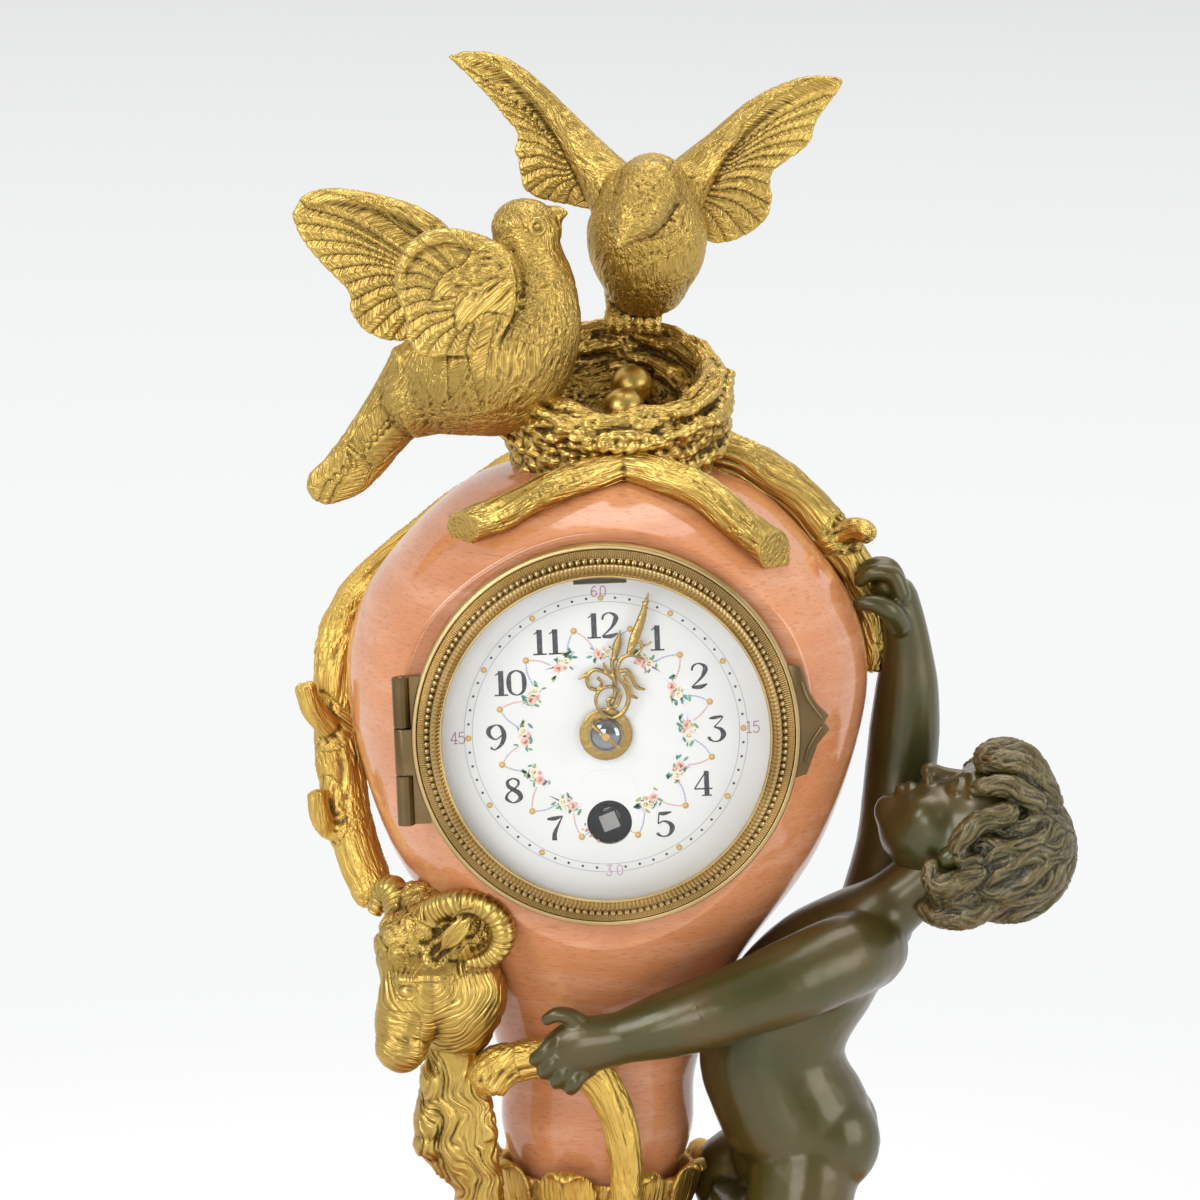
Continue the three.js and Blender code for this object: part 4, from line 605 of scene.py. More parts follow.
# Nest: a cast gilt bowl of lumpy moss bound with straw, tilted towards the front so that the two
# eggs show. It is pinned to the crown of the pear.
CROWN = 51
NEST_RIM = CROWN + 17
NEST_TILT = math.radians(20)
STRAWS = 90
nest_frame = Matrix.Translation((0, 0, NEST_RIM)) @ Matrix.Rotation(NEST_TILT, 4, "X")
nest = bmesh.new()
bowl = spun([
    (0, -16), (20, -15), (23.2, -12), (24.2, -8), (23.6, -3.5), (21.8, -1.2), (20, -0.9),
    (18, -2.6), (15.6, -6.5), (9, -10.4), (0, -10.9),
], 48)
bmesh.ops.transform(bowl, matrix=nest_frame, verts=bowl.verts)
add_to(nest, bowl)
add_to(nest, spun([
    (0, CROWN - 5), (19.6, CROWN - 5.6), (20.6, CROWN - 3), (20.8, CROWN + 2), (20, CROWN + 9),
    (0, CROWN + 9),
], 48))
straw = random.Random(11)
for _ in range(STRAWS):
    angle, sweep = straw.uniform(0, math.tau), straw.choice((-1, 1)) * straw.uniform(0.6, 1.5)
    zone = straw.random()
    if zone < 0.5:
        radius, height = straw.uniform(18.4, 23), straw.uniform(-2, -0.2)
    elif zone < 0.84:
        radius, height = straw.uniform(22.6, 23.8), straw.uniform(-13, -2.4)
    else:
        radius, height = straw.uniform(14.5, 18), straw.uniform(-8, -3)
    thick = straw.uniform(0.8, 1.5)
    strand = []
    for j in range(5):
        turn = angle + sweep * j / 4
        out = radius + straw.uniform(-0.7, 0.7)
        rise = height + straw.uniform(-0.9, 0.7)
        strand.append((*(nest_frame @ Vector((out * math.cos(turn), out * math.sin(turn), rise))), thick))
    limb(nest, strand, sides=8, steps=4, across=(0.1, 0.2, 1))
nest_skin = fuse(nest, 0.4, 5)
into_nest = nest_frame.inverted()


def clamp(value):
    """A value held between 0 and 1."""
    return min(1, max(0, value))


def moss(k, place, normal):
    """Grape-like lumps outside, straw that runs round the rim and the inside."""
    spot = into_nest @ place
    out = math.hypot(spot.x, spot.y)
    outside = clamp((out - 20.5) / 2) if spot.z < -1.5 else 0.0
    cell = noise.voronoi(place * 0.48)[0][0]
    ring = Vector((math.atan2(spot.y, spot.x) * 2.4, out * 0.8, spot.z * 0.8))
    ring += noise.noise_vector(place * 0.12) * 0.9
    straw_line = 0.5 - 2 * abs(noise.noise(ring))
    height = outside * (0.7 - 1.3 * cell) + 0.34 * straw_line * (1 - 0.8 * outside)
    return height + 0.2 * noise.noise(place * 1.3), ring * (1.6 - 0.8 * outside)


chase(nest_skin, moss)
fit("moss_nest", nest_skin, burnished, ["nest"])

# Eggs: two plain gilt eggs that lie in the nest, cast apart from it and burnished smooth. Each is a
# little longer at one end.
EGG_RADIUS = 4.15
EGG_SEAT = -6
for k, (x, y) in enumerate([(3.5, 5), (2, -5)], 1):
    egg = bmesh.new()
    bmesh.ops.create_uvsphere(egg, u_segments=32, v_segments=20, radius=EGG_RADIUS)
    for vert in egg.verts:
        vert.co.x *= 1.1 if vert.co.x > 0 else 1.02
    seat = nest_frame @ Matrix.Translation((x, y, EGG_SEAT))
    fit(f"gilt_egg_{k}", as_mesh(egg), burnished, [f"egg_{k}"], place=pear_frame @ seat)

# Twigs and branches: gilt castings of barked wood, laid over the marble and pinned to it. Two cut
# twigs come from under the nest, one branch runs down each side, and one crosses the neck.


def over_marble(degrees, height, lift):
    """A point over the marble: degrees round from the front to the right, height, lift off it."""
    line = pear_profile[1:]
    k = min(range(1, len(line) - 1), key=lambda i: abs(line[i][1] - height))
    (r0, z0), (r, z), (r1, z1) = line[k - 1:k + 2]
    run = Vector((r1 - r0, z1 - z0)).normalized()
    out = r + run.x * (height - z) / max(run.y, 0.05) if run.y > 0.3 else r
    angle = math.radians(degrees)
    out += run.y * lift
    return out * math.sin(angle), -out * math.cos(angle), (height if run.y > 0.3 else z) - run.x * lift


def nearest_on(data, paths, look=1):
    """For each point of a mesh: its nearest path, distance along it, direction there, offset,
    and how much further off the next path is, with that path's number."""
    samples = []
    for number, path in enumerate(paths):
        run = 0.0
        for before, after in zip(path, path[1:]):
            samples.append((before, number, run, (after - before).normalized()))
            run += (after - before).length
    finder = KDTree(len(samples))
    for k, (place, *_) in enumerate(samples):
        finder.insert(place, k)
    finder.balance()
    found = []
    for vert in data.vertices:
        hits = finder.find_n(vert.co, look)
        place, number, run, along = samples[hits[0][1]]
        others = [(far - hits[0][2], samples[k][1]) for _, k, far in hits if samples[k][1] != number]
        offset = vert.co - place
        run += offset.dot(along)
        offset -= along * offset.dot(along)
        found.append((number, run, along, offset, *min(others, default=(9.0, number))))
    return found


def path_of(stations, steps=14):
    """Points along the middle of a limb."""
    return [Vector(p[:3]) for p in flow(stations, steps)]


def bark_on(data, paths, ends, depth):
    """Bark along a branch: long grooves that wander, short cracks, and rings on the sawn ends."""
    spots = nearest_on(data, paths)

    def bark(k, place, normal):
        for middle, facing in ends:
            ring = (place - middle).length
            if normal.dot(facing) > 0.75 and ring < 6:
                return 0.08 * math.cos(ring * math.tau / 1.5) - 0.1, place * 0.8
        number, run, along, offset, *_ = spots[k]
        wander = noise.noise(place * 0.09) * 2.2
        grain = offset + along * (run * 0.08) + Vector((wander, 5 * number, wander)) * 0.6
        groove = abs(noise.noise(grain * 0.62))
        crack = noise.noise(offset * 1.9 + along * (run * 0.3))
        height = depth * (0.55 - 2.2 * groove) + 0.12 * crack + 0.35 * noise.noise(place * 0.16)
        return height, grain * 1.1

    chase(data, bark)


def sawn(bm, middle, facing):
    """Cuts a limb's end off flat, square to a direction."""
    cutting = bmesh.ops.bisect_plane(
        bm, geom=[*bm.verts, *bm.edges, *bm.faces], plane_co=middle, plane_no=facing, clear_outer=True,
    )
    rim = [e for e in cutting["geom_cut"] if isinstance(e, bmesh.types.BMEdge)]
    bmesh.ops.contextual_create(bm, geom=rim)


def laid(route):
    """Stations of (x, y, z, radius) from a route of (degrees, height, lift, radius)."""
    return [(*over_marble(*spot[:3]), spot[3]) for spot in route]


TWIG = 3.4
twig_routes = [
    [(30, CROWN - 1.6, 3, TWIG), (-20, CROWN - 4.7, 2.6, TWIG), (-36, CROWN - 9.8, 2.6, TWIG),
     (-48.5, CROWN - 13.8, 2.6, TWIG + 0.2), (-53, CROWN - 16, 2.6, TWIG + 0.2)],
    [(-15, CROWN - 1.6, 3, TWIG), (33, CROWN - 5, 2.8, TWIG + 0.4), (44, CROWN - 12.3, 2.8, TWIG + 0.4),
     (50.5, CROWN - 17, 2.8, TWIG + 0.6), (54, CROWN - 20, 2.8, TWIG + 0.6)],
]
twigs = bmesh.new()
paths, ends = [], []
for route, facing in zip(twig_routes, [Vector((-0.75, -0.55, -0.35)), Vector((0.75, -0.62, -0.2))]):
    stations = laid(route)
    twig = bmesh.new()
    limb(twig, stations, sides=16, across=(0, 0, 1), blunt=0)
    middle = Vector(stations[-2][:3])
    sawn(twig, middle, facing)
    add_to(twigs, twig)
    paths.append(path_of(stations))
    ends.append((middle, facing.normalized()))
fork = fuse(twigs, 0.33, 1)
bark_on(fork, paths, ends, 0.28)
fit("twig_fork", fork, burnished, ["nest_twigs"])

BRANCH = 4.4
right_route = [
    (104, CROWN - 1.6, 3.2, BRANCH), (100, CROWN - 4.8, 3, BRANCH + 0.6), (99, 40, 3.2, BRANCH + 0.6),
    (97.5, 31, 3.5, BRANCH + 0.4), (96.5, 21, 3, BRANCH - 0.4), (96, 13, 2.4, BRANCH - 1.6),
    (96, 7, 1.8, BRANCH - 2.8),
]
left_route = [
    (-158, CROWN - 4, 2, BRANCH - 1), (-146, 44, 1.4, BRANCH - 1), (-132, 34, 1.4, BRANCH - 0.6),
    (-112, 20, 1.8, BRANCH - 0.2), (-101, 10, 3, BRANCH + 0.4), (-98, -3, 4, BRANCH + 0.4),
    (-96, -14, 5.4, BRANCH + 0.6), (-92, -26, 7, BRANCH + 0.4), (-82, -35, 8, BRANCH),
]
lower_stations = [
    (-22, -25.5, -73.4, BRANCH + 0.2), (-19, -26.5, -71, BRANCH), (-11.5, -28, -69, BRANCH - 0.4),
    (-4, -29, -69.6, BRANCH - 0.4), (1.2, -28.8, -75, BRANCH - 0.6), (4.6, -27.6, -83, BRANCH - 0.9),
    (6, -26, -92, BRANCH - 0.9), (6.4, -24.6, -100, BRANCH - 1), (5.6, -22.6, -115, BRANCH - 1.2),
    (3, -17.5, -126, BRANCH - 1.4),
]
stubs = {
    "branch_left": [
        [(-57, 3, -8, 2.6), (-60.5, 1, -3.5, 2.4), (-62, 0.5, 1, 2.1)],
        [(-54, 2, -30, 2.6), (-57.5, -1, -27, 2.3), (-59, -1.5, -21, 2)],
    ],
    "branch_right": [[(46, 5, 34, 3), (50.5, 1.6, 36, 2.5), (53, -0.6, 35.2, 1.9)]],
    "branch_lower": [[(-17, -27, -70, 3.6), (-20, -27.6, -73.2, 3.2), (-21.6, -28, -75.6, 3)]],
}
for name, stations, finish in (
    ("branch_right", laid(right_route), burnished), ("branch_left", laid(left_route), matt),
    ("branch_lower", lower_stations, matt),
):
    branch = bmesh.new()
    limb(branch, stations, sides=16, across=(0, 1, 0.3))
    for stub in stubs[name]:
        limb(branch, stub, sides=12, across=(0, 1, 0.3), blunt=0.3)
    wood = fuse(branch, 0.4, 2)
    bark_on(wood, [path_of(stations), *[path_of(stub) for stub in stubs[name]]], [], 0.42)
    fit(f"barked_{name}", wood, finish, [name])

# Ram's head: a gilt mask with curled horns and a pelt that hangs down the neck of the pear, cast in
# one and chased with long wavy strokes. It is pinned to the marble at the lower left.
ram = bmesh.new()
limb(ram, [
    (-35, -20, -43, 9, 8), (-35.4, -22, -49, 11, 9.5), (-36.6, -24.5, -56, 8.6, 8.6),
    (-39.2, -27, -63, 6.7, 6.2), (-40, -28.6, -67.6, 5.2, 4.9),
], sides=20)
for place, radii in (
    ((-40, -29.2, -67.2), (5.6, 4.7, 5)), ((-32.6, -25.6, -55), (6.6, 6.9, 10)),
    ((-28.5, -23.5, -57.5), (9.6, 8.4, 11.5)), ((-27.5, -23, -65), (6, 6, 5)),
    ((-27.5, -25.5, -43), (8, 7, 8)), ((-38.6, -25, -46), (7, 6.4, 7.4)),
    ((-35.4, -26.4, -42.4), (5.4, 4.6, 4.6)), ((-38.4, -30.4, -52.8), (3.4, 2.6, 1.6)),
    ((-39.2, -31.4, -55.1), (1.5, 1.3, 1)), ((-39.4, -30.6, -57.2), (2.6, 2, 1)),
    ((-32.4, -21, -76), (4.2, 4.2, 5.6)), ((-33, -21.2, -84.5), (4.8, 4.4, 5.2)),
    ((-33.6, -21, -89.4), (4.2, 4.2, 3.6)),
):
    lump(ram, place, radii)
horn_near = [
    (-35, -27, -40, 2.9), (-30.8, -31.5, -36.9, 2.9), (-26.9, -33.5, -36, 2.9),
    (-23, -34.6, -36.8, 2.8), (-20.5, -35, -39.2, 2.7), (-19.7, -35, -42.4, 2.6),
    (-20.8, -34.6, -45.6, 2.3), (-23.2, -34, -47.6, 1.9), (-26, -33.4, -48.3, 1.2),
]
horn_far = [(-41, -20, -41, 3.4), (-42.5, -17, -37.5, 3), (-44.5, -14, -38.5, 2.6), (-46, -13, -42, 2)]
ear = [
    (-32.4, -31.5, -46.4, 1, 1), (-30.2, -33.6, -43.4, 2.2, 1.1), (-27.8, -34.4, -40.4, 1.9, 1),
    (-25.9, -34.4, -38.2, 0.8, 0.7),
]
pelt = [
    (-28.5, -21.5, -62, 6.5, 8), (-29.5, -21.5, -70.5, 4.6, 5.6), (-29.2, -21, -77, 4.6, 7.6),
    (-28.7, -21, -88, 4.8, 9.2), (-26, -20.5, -94.6, 4.5, 6.6), (-24.2, -20, -99, 4.2, 5.4),
    (-23, -19.5, -107, 4, 5.6), (-20, -18.5, -116, 3.6, 5), (-17, -15.5, -125, 3, 4),
]
limb(ram, horn_near, sides=16, across=(1, -1, 0.2))
limb(ram, horn_far, sides=14, across=(1, -1, 0.2))
limb(ram, ear, sides=12)
limb(ram, pelt, sides=20, across=(1, -0.35, 0))
fleece = fuse(ram, 0.35, 8)
fleece_spots = nearest_on(fleece, [path_of(route) for route in (horn_near, horn_far, ear, pelt)])
RAM_EYE = Vector((-39.2, -32.6, -55.1))
FUR = 1.1
WHORL = Vector((-32.6, -52.9))
WHORL_ARMS = 7


def wool(k, place, normal):
    """Rings round the horns, wrinkles on the muzzle, a whorl on the cheek, wavy hair down the pelt."""
    number, run, along, offset, *_ = fleece_spots[k]
    wave = noise.noise_vector(place * 0.2)
    if number < 2 and offset.length < 3.8:
        ring = run + 0.7 * wave.x
        return 0.16 * math.cos(ring * math.tau / 1.25), (ring, 0, 0)
    if number == 2 and offset.length < 2.6:
        return -0.7 * math.exp(-((offset.length - 1) / 0.7) ** 2), offset + along * (run * 0.1)
    from_eye = math.hypot((place.x - RAM_EYE.x) * 0.7, place.z - RAM_EYE.z)
    if from_eye < 1.7 and place.y < -28:
        return 0.12 - 0.3 * math.exp(-((from_eye - 1.2) / 0.35) ** 2), (0, 0, 0)
    whorl = Vector((place.x, place.z)) - WHORL
    swirl = whorl.length + WHORL_ARMS * FUR / math.tau * math.atan2(whorl.y, whorl.x) + 1.5 * wave.x
    muzzle = clamp((-35 - place.x) / 2.4) * clamp((-57.5 - place.z) / 3)
    if muzzle > 0.5:
        lie = Vector((0.12 * place.x, 0, place.z + 0.3 * place.x + 0.8 * wave.y))
        return 0.12 * (0.5 - 2.3 * abs(noise.noise(lie * 0.8))), lie * 1.1
    if place.z < -69:
        line = place.x + 0.25 * place.z + 0.8 * math.sin(0.4 * place.z + 3 * wave.y) + 3 * wave.x
        lock = 0.7 * noise.noise(Vector((line * 0.3, 0, place.z * 0.1)))
        return lock + 0.15 * math.cos(math.tau * line / (1.2 * FUR)), (line, 0, 0.12 * place.z)
    brow = clamp((place.z + 51.5) / 4)
    curl = noise.voronoi((place + wave * 1.2) * 0.26)[0][0]
    curled = 0.6 - 1.5 * curl + 0.14 * math.cos(math.tau * 3.2 * curl)
    depth = 0.15 * clamp((whorl.length - 2.4) / 3) * (0.8 + wave.z)
    height = brow * curled + (1 - brow) * depth * math.cos(math.tau * swirl / FUR)
    return height, Vector((swirl, 0, 0.15 * place.y)) * (1 - brow) + place * (1.2 * brow)


chase(fleece, wool)
fit("ram_head", fleece, burnished, ["ram_mask"])

# Doves: two gilt birds, each cast with its wings and chased all over. The left one leans over the
# rim of the nest with its tail down; the right one alights on the back rim with raised wings.


def wing(bm, outline, y, thick=2.2):
    """Adds a flat wing cut to an outline of (x, z) points."""
    blade = bmesh.new()
    rim = [blade.verts.new((x, y - thick / 2, z)) for x, z in flow([*outline, outline[0]], 3)[:-1]]
    grown = bmesh.ops.extrude_face_region(blade, geom=[blade.faces.new(rim)])["geom"]
    bmesh.ops.translate(blade, verts=verts_in(grown), vec=(0, thick, 0))
    bmesh.ops.recalc_face_normals(blade, faces=blade.faces)
    add_to(bm, blade)


def fan(root, tips, sag=0.0, bare=0.36):
    """The paths of a fan of feathers: a share of the way from their root is bare of them."""
    rows = []
    for tip in tips:
        start = Vector(root).lerp(Vector(tip), bare)
        middle = start.lerp(Vector(tip), 0.5) + Vector((0, 0, sag))
        rows.append(path_of([start, middle, tip], 7))
    return rows


def chase_bird(data, down, plumes, eyes):
    """Soft strokes that flow along the body, and shafts with slanting barbs on the feathers."""
    spots = nearest_on(data, down + plumes, 14)

    def plumage(k, place, normal):
        number, run, along, offset, gap, rival = spots[k]
        for eye in eyes:
            ring = (place - eye).length
            if ring < 2:
                return 0.3 * math.cos(ring * math.pi / 0.8), (0, 0, 0)
        wave = noise.noise_vector(place * 0.15)
        if number >= len(down) and offset.length < 3.2:
            across = offset.dot(along.cross(Vector((0, 1, 0))))
            step = 0.12 if number < rival else -0.12
            edge = step * math.exp(-gap / 1.1) - 0.1 * math.exp(-((gap / 0.4) ** 2))
            shaft = 0.1 * math.exp(-((across / 0.32) ** 2))
            return edge + shaft, (run + 0.9 * abs(across), 0.15 * across, 7 * number)
        lie = offset * 1.4 + along * (run * 0.2) + wave * 1.4
        return 0.2 * (0.5 - 2.2 * abs(noise.noise(lie * 0.6))), lie

    chase(data, plumage)


left = bmesh.new()
left_spine = [
    (-39, -7, 63, 8.6), (-32, -7.5, 66.6, 12.6), (-24, -8, 70.6, 14.8), (-19, -8, 78, 12.8),
    (-17.2, -8, 86, 9.4), (-17.8, -8, 92.5, 7), (-18.6, -8, 96.5, 6.6),
]
left_tail = [
    (-38, -7, 66, 9.4, 6.4), (-44.6, -6.8, 58.8, 6.4, 4), (-52.6, -6.4, 48, 5.4, 2.2),
    (-57.6, -6, 44.2, 4.4, 1.4),
]
limb(left, left_spine, sides=24)
limb(left, left_tail, sides=20)
for x, z in ((-60.2, 44.6), (-58.6, 43), (-56.6, 42.4)):
    limb(left, [(x + 5, -6.2, z + 6, 2, 1.2), (x, -6, z, 1.3, 0.9)], sides=12)
lump(left, (-18.2, -8, 97.4), (7.2, 6.4, 6.2), Matrix.Rotation(0.2, 3, "Y"))
limb(left, [(-13.4, -8, 99.6, 3.2), (-11.8, -8, 100.6, 1.9), (-10.6, -8, 100.9, 0.8)], sides=12)
lump(left, (-15.9, -13.4, 98.8), (0.8, 0.7, 0.8))
wing(left, [
    (-66, 98.1), (-63.5, 102.2), (-57.4, 103.6), (-48, 102.2), (-39.2, 99.4), (-34.7, 96.3), (-30, 90),
    (-28, 82), (-34, 74), (-43.1, 72.8), (-47.6, 73.2), (-51.5, 75.3), (-54, 79.3), (-54.2, 82.6),
    (-59.8, 88.2), (-64.2, 93.6),
], 3)
wing(left, [
    (-44, 88), (-43.4, 92.6), (-40.8, 96), (-36.9, 97.8), (-33.3, 98.1), (-28.3, 96.8), (-23.2, 94.3),
    (-20.8, 91.9), (-19.9, 86.7), (-21, 80), (-26, 74), (-33.3, 73.1), (-37.4, 72.7), (-39.9, 74),
    (-41.6, 77), (-41.8, 80.8), (-43.4, 84.5),
], -20.6)
limb(left, [
    (-21, -17, 87, 2.6), (-22.4, -19.6, 92.6, 2.2), (-28.4, -20.6, 96, 1.9), (-35, -21, 97, 1.8),
    (-40.2, -21.2, 94.8, 1.7), (-42.8, -21.2, 90.6, 1.4), (-43, -21, 86.4, 1),
], sides=12)
limb(left, [
    (-30, -1, 84, 3), (-34, 1.6, 92, 2.8), (-39.6, 2.6, 97.6, 2.2), (-48, 2.8, 100.6, 1.9),
    (-57, 2.8, 102, 1.7), (-63, 3, 100.6, 1.4),
], sides=12)
lump(left, (-25, -15.5, 82), (7.6, 5.6, 9.6))
lump(left, (-31, -16, 80), (7, 4, 6.4))
lump(left, (-34, -1.6, 81), (6.4, 5.4, 8.4))
left_plumes = [
    path_of([(-41, -9, 61 + k), (-48, -8.6, 53 + k), (-60 + 1.6 * k, -7.4, 44.6 - 0.8 * k)], 7)
    for k in (0, 1.4, 2.8)
]
left_plumes += fan((-26, -20, 86), [
    (-37, -21.4, 97), (-40.6, -21.4, 94.6), (-42.6, -21.4, 91.4), (-43.2, -21.4, 88),
    (-42.8, -21.4, 84.6), (-41.8, -21.4, 81), (-41.2, -21.4, 77.6), (-39, -21.4, 74.6),
    (-35.6, -21, 73.2), (-32, -21, 73.4), (-28, -21, 74.6),
], 0.8, 0.56)
left_plumes += fan((-32, 1.6, 86), [
    (-62.4, 1.6, 101), (-65, 1.6, 98.4), (-64.2, 1.6, 95), (-62, 1.6, 91.6), (-59.4, 1.6, 88.6),
    (-56.8, 1.6, 85.8), (-54.2, 1.6, 82.6), (-53.6, 1.6, 79), (-51.4, 1.6, 75.6), (-47.4, 1.6, 73.6),
    (-43.4, 1.6, 73.2), (-39, 1.6, 73.6),
], 1.6)
left_skin = fuse(left, 0.33, 3)
left_down = [path_of(route) for route in (
    left_spine,
    [(-20, -15, 92), (-25, -21, 91), (-33, -21.4, 89), (-36, -21.4, 85)],
    [(-24, -20.6, 87), (-28, -21, 84), (-31, -21, 79)],
    [(-30, -2, 92), (-36, -1, 88), (-37, -2, 80)],
)]
chase_bird(left_skin, left_down, left_plumes, [Vector((-15.9, -14, 98.8))])
fit("dove_leaning", left_skin, burnished, [
    "dove_left", "dove_left_near_wing", "dove_left_far_wing",
])

right = bmesh.new()
right_spine = [
    (5.6, 34, 81, 4), (5.4, 28, 84, 7.6), (5.6, 20, 88.6, 10.4), (6.2, 11, 93.4, 11.4),
    (6.6, 4, 100.4, 9.8), (7, 0, 105, 7.8), (6.6, -2.6, 105.6, 6.6),
]
limb(right, right_spine, sides=24, across=(1, 0, 0))
limb(right, [
    (6.4, 3, 102, 9, 10.4), (6.2, 4, 97, 10, 12.2), (6.2, 7, 91, 10.6, 11.8), (6.2, 10, 87.4, 9.6, 9.8),
], sides=24, across=(1, 0, 0))
limb(right, [
    (6.4, -3, 105.4, 6.3), (4.8, -6.2, 102.4, 6), (3, -9, 99.4, 4.8), (1.3, -11.2, 96.6, 2.3),
    (0.3, -12.2, 95, 0.8),
], sides=18, across=(1, 0, 0))
for x in (0.6, 6.8):
    limb(right, [
        (x, 11, 86, 3.4), (x - 0.2, 12, 81.5, 2.6), (x - 0.3, 12, 79.2, 2.2),
    ], sides=12, across=(1, 0, 0))
    for toe in (-1.9, 0, 1.9):
        limb(right, [
            (x, 13, 80, 1.2), (x + toe * 0.7, 10.4, 79.4, 1.2), (x + toe, 8.8, 77, 1),
            (x + toe, 9, 75, 0.8),
        ], sides=10, across=(1, 0, 0))
right_plumes = []
for k, x in enumerate((1, 4, 7.4, 10.4)):
    plume = [(5.4 + (x - 5.4) * 0.3, 28, 83.6, 2, 3), (x, 46, 77.6 + 0.4 * (k % 2), 0.9, 2.8)]
    limb(right, plume, sides=12, across=(1, 0, 0), blunt=0.5)
    right_plumes.append(path_of(plume))
wing(right, [
    (-35.2, 130), (-29.3, 131.1), (-22.7, 129.6), (-16.3, 123.6), (-11.7, 119.2), (-7.1, 112.5),
    (-3.7, 109.1), (2, 104), (-4, 99.5), (-9.7, 100.1), (-14.8, 101), (-17.5, 102), (-19.4, 103.8),
    (-20.5, 109.3), (-21.2, 111.2), (-20.6, 114.5), (-23.3, 117.7), (-27.5, 122.7),
], 14)
wing(right, [
    (10.8, 108.6), (18.6, 114.7), (27.5, 122.1), (35.7, 126.8), (42.2, 127.6), (45.4, 126.3),
    (40.4, 118.7), (38.7, 113.5), (31.9, 108.2), (31.3, 104.9), (31.6, 102.1), (30.5, 98.1),
    (26.3, 94.6), (21.4, 92.9), (18.4, 93.5), (13, 96), (6, 101),
], 14)
limb(right, [
    (3, 8, 99, 8), (-3, 11, 106.4, 5.4), (-11, 13, 116.4, 3), (-19, 13.8, 124.6, 2.3),
    (-26, 14, 129, 1.8), (-32, 14, 129.8, 1.3),
], sides=14)
limb(right, [
    (9, 8, 98, 8), (13.6, 11, 105, 5.4), (20.6, 13, 113.4, 3), (28, 13.8, 120.6, 2.3), (36, 14, 125, 1.8),
    (42.4, 14, 126, 1.2),
], sides=14)
right_plumes += fan((-6, 12.4, 108), [
    (-33.6, 12.6, 129.6), (-31.6, 12.6, 127.2), (-29, 12.6, 124.4), (-26.4, 12.6, 121.4),
    (-23.6, 12.6, 118.2), (-21, 12.6, 115), (-20.8, 12.6, 111.2), (-20, 12.6, 107.6),
    (-19, 12.6, 104.4), (-16.4, 12.6, 102), (-12.6, 12.6, 101), (-8.6, 12.6, 100.6),
], 1.2)
right_plumes += fan((13, 12.4, 105.6), [
    (44.2, 12.6, 126), (43, 12.6, 122.8), (41, 12.6, 119.6), (39.4, 12.6, 116.4), (37.6, 12.6, 113),
    (34.6, 12.6, 110), (31.6, 12.6, 107.2), (31.2, 12.6, 103.2), (30.6, 12.6, 99.4), (28, 12.6, 96),
    (24.4, 12.6, 94), (20.6, 12.6, 93.6), (17.2, 12.6, 95),
], 1.4)
right_skin = fuse(right, 0.34, 4)
right_down = [path_of(route) for route in (
    right_spine,
    [(2, 9, 106), (-7, 9, 109), (-13, 11, 117)],
    [(8, 9, 105), (15, 9, 107.6), (23, 11, 115)],
)]
chase_bird(right_skin, right_down, right_plumes, [])
fit("dove_alighting", right_skin, burnished, [
    "dove_right", "dove_right_left_wing", "dove_right_right_wing",
])

# Bronze child: a standing figure cast in bronze and lacquered over an olive-brown patina, rubbed to
# gold on the heights, the hair's light ridges partly a painted highlight and the creases dark with
# grime and painted shade. One hand grips the low branch, the other is raised to the branch on the right.
FLOOR = -140.3
# The dark colour in the bronze's creases is grime with painted shade.
bronze = cast_metal(
    "olive bronze", 0.2, 0.4, 0.5, Metal=(0.085, 0.058, 0.011, 1), Dull=(0.052, 0.052, 0.006, 1),
    Grime=(0.014, 0.012, 0.006, 1), Grime_Level=1.1, Gloss=0.3, Grain=600,
)
child = bmesh.new()
limb(child, [
    (42.5, -10.5, FLOOR + 45, 11, 13), (42.2, -11, FLOOR + 53, 15, 14.6),
    (37.6, -11, FLOOR + 62, 14.8, 13.8), (35.6, -11, FLOOR + 70, 15, 13.4),
    (39, -11, FLOOR + 79, 14, 14), (46, -10.5, FLOOR + 88, 12.6, 15.4), (53, -10, FLOOR + 95, 9.6, 13),
    (60, -9.5, FLOOR + 101, 7, 7.2), (69, -9.8, FLOOR + 109, 7, 7),
], sides=28)
for y in (-15.6, -5.4):
    lump(child, (47.2, y, FLOOR + 52), (11.2, 9.6, 11.4))
lump(child, (54, -14, FLOOR + 92), (8.6, 10, 8.6))
limb(child, [
    (43.5, -12, FLOOR + 60, 9), (43, -14.4, FLOOR + 49, 11.4), (41.5, -18, FLOOR + 36, 10.6),
    (39, -20, FLOOR + 21, 8), (42.5, -20, FLOOR + 11, 6.8), (43.5, -20, FLOOR + 3.8, 4.4),
], sides=20)
limb(child, [
    (42, -8, FLOOR + 58, 9), (39.5, -5, FLOOR + 48, 11.4), (34, 1, FLOOR + 43, 9.6),
    (27, 2.5, FLOOR + 39, 7.2), (30.5, 3, FLOOR + 22, 6.2), (37, 3, FLOOR + 4.4, 4.2),
], sides=20)
for x, y in ((44, -20), (37.5, 3)):
    limb(child, [
        (x + 3, y, FLOOR + 3.4, 3.2, 3.4), (x - 4, y - 0.4, FLOOR + 3.2, 3.2, 3.8),
        (x - 10, y - 1, FLOOR + 2.1, 2, 4.2),
    ], sides=16)
    for toe in range(5):
        limb(child, [
            (x - 9, y - 4 + toe * 1.7, FLOOR + 2, 1.5),
            (x - 12.6 + toe * 0.5, y - 4.3 + toe * 1.8, FLOOR + 1.8, 1.4),
        ], sides=10)
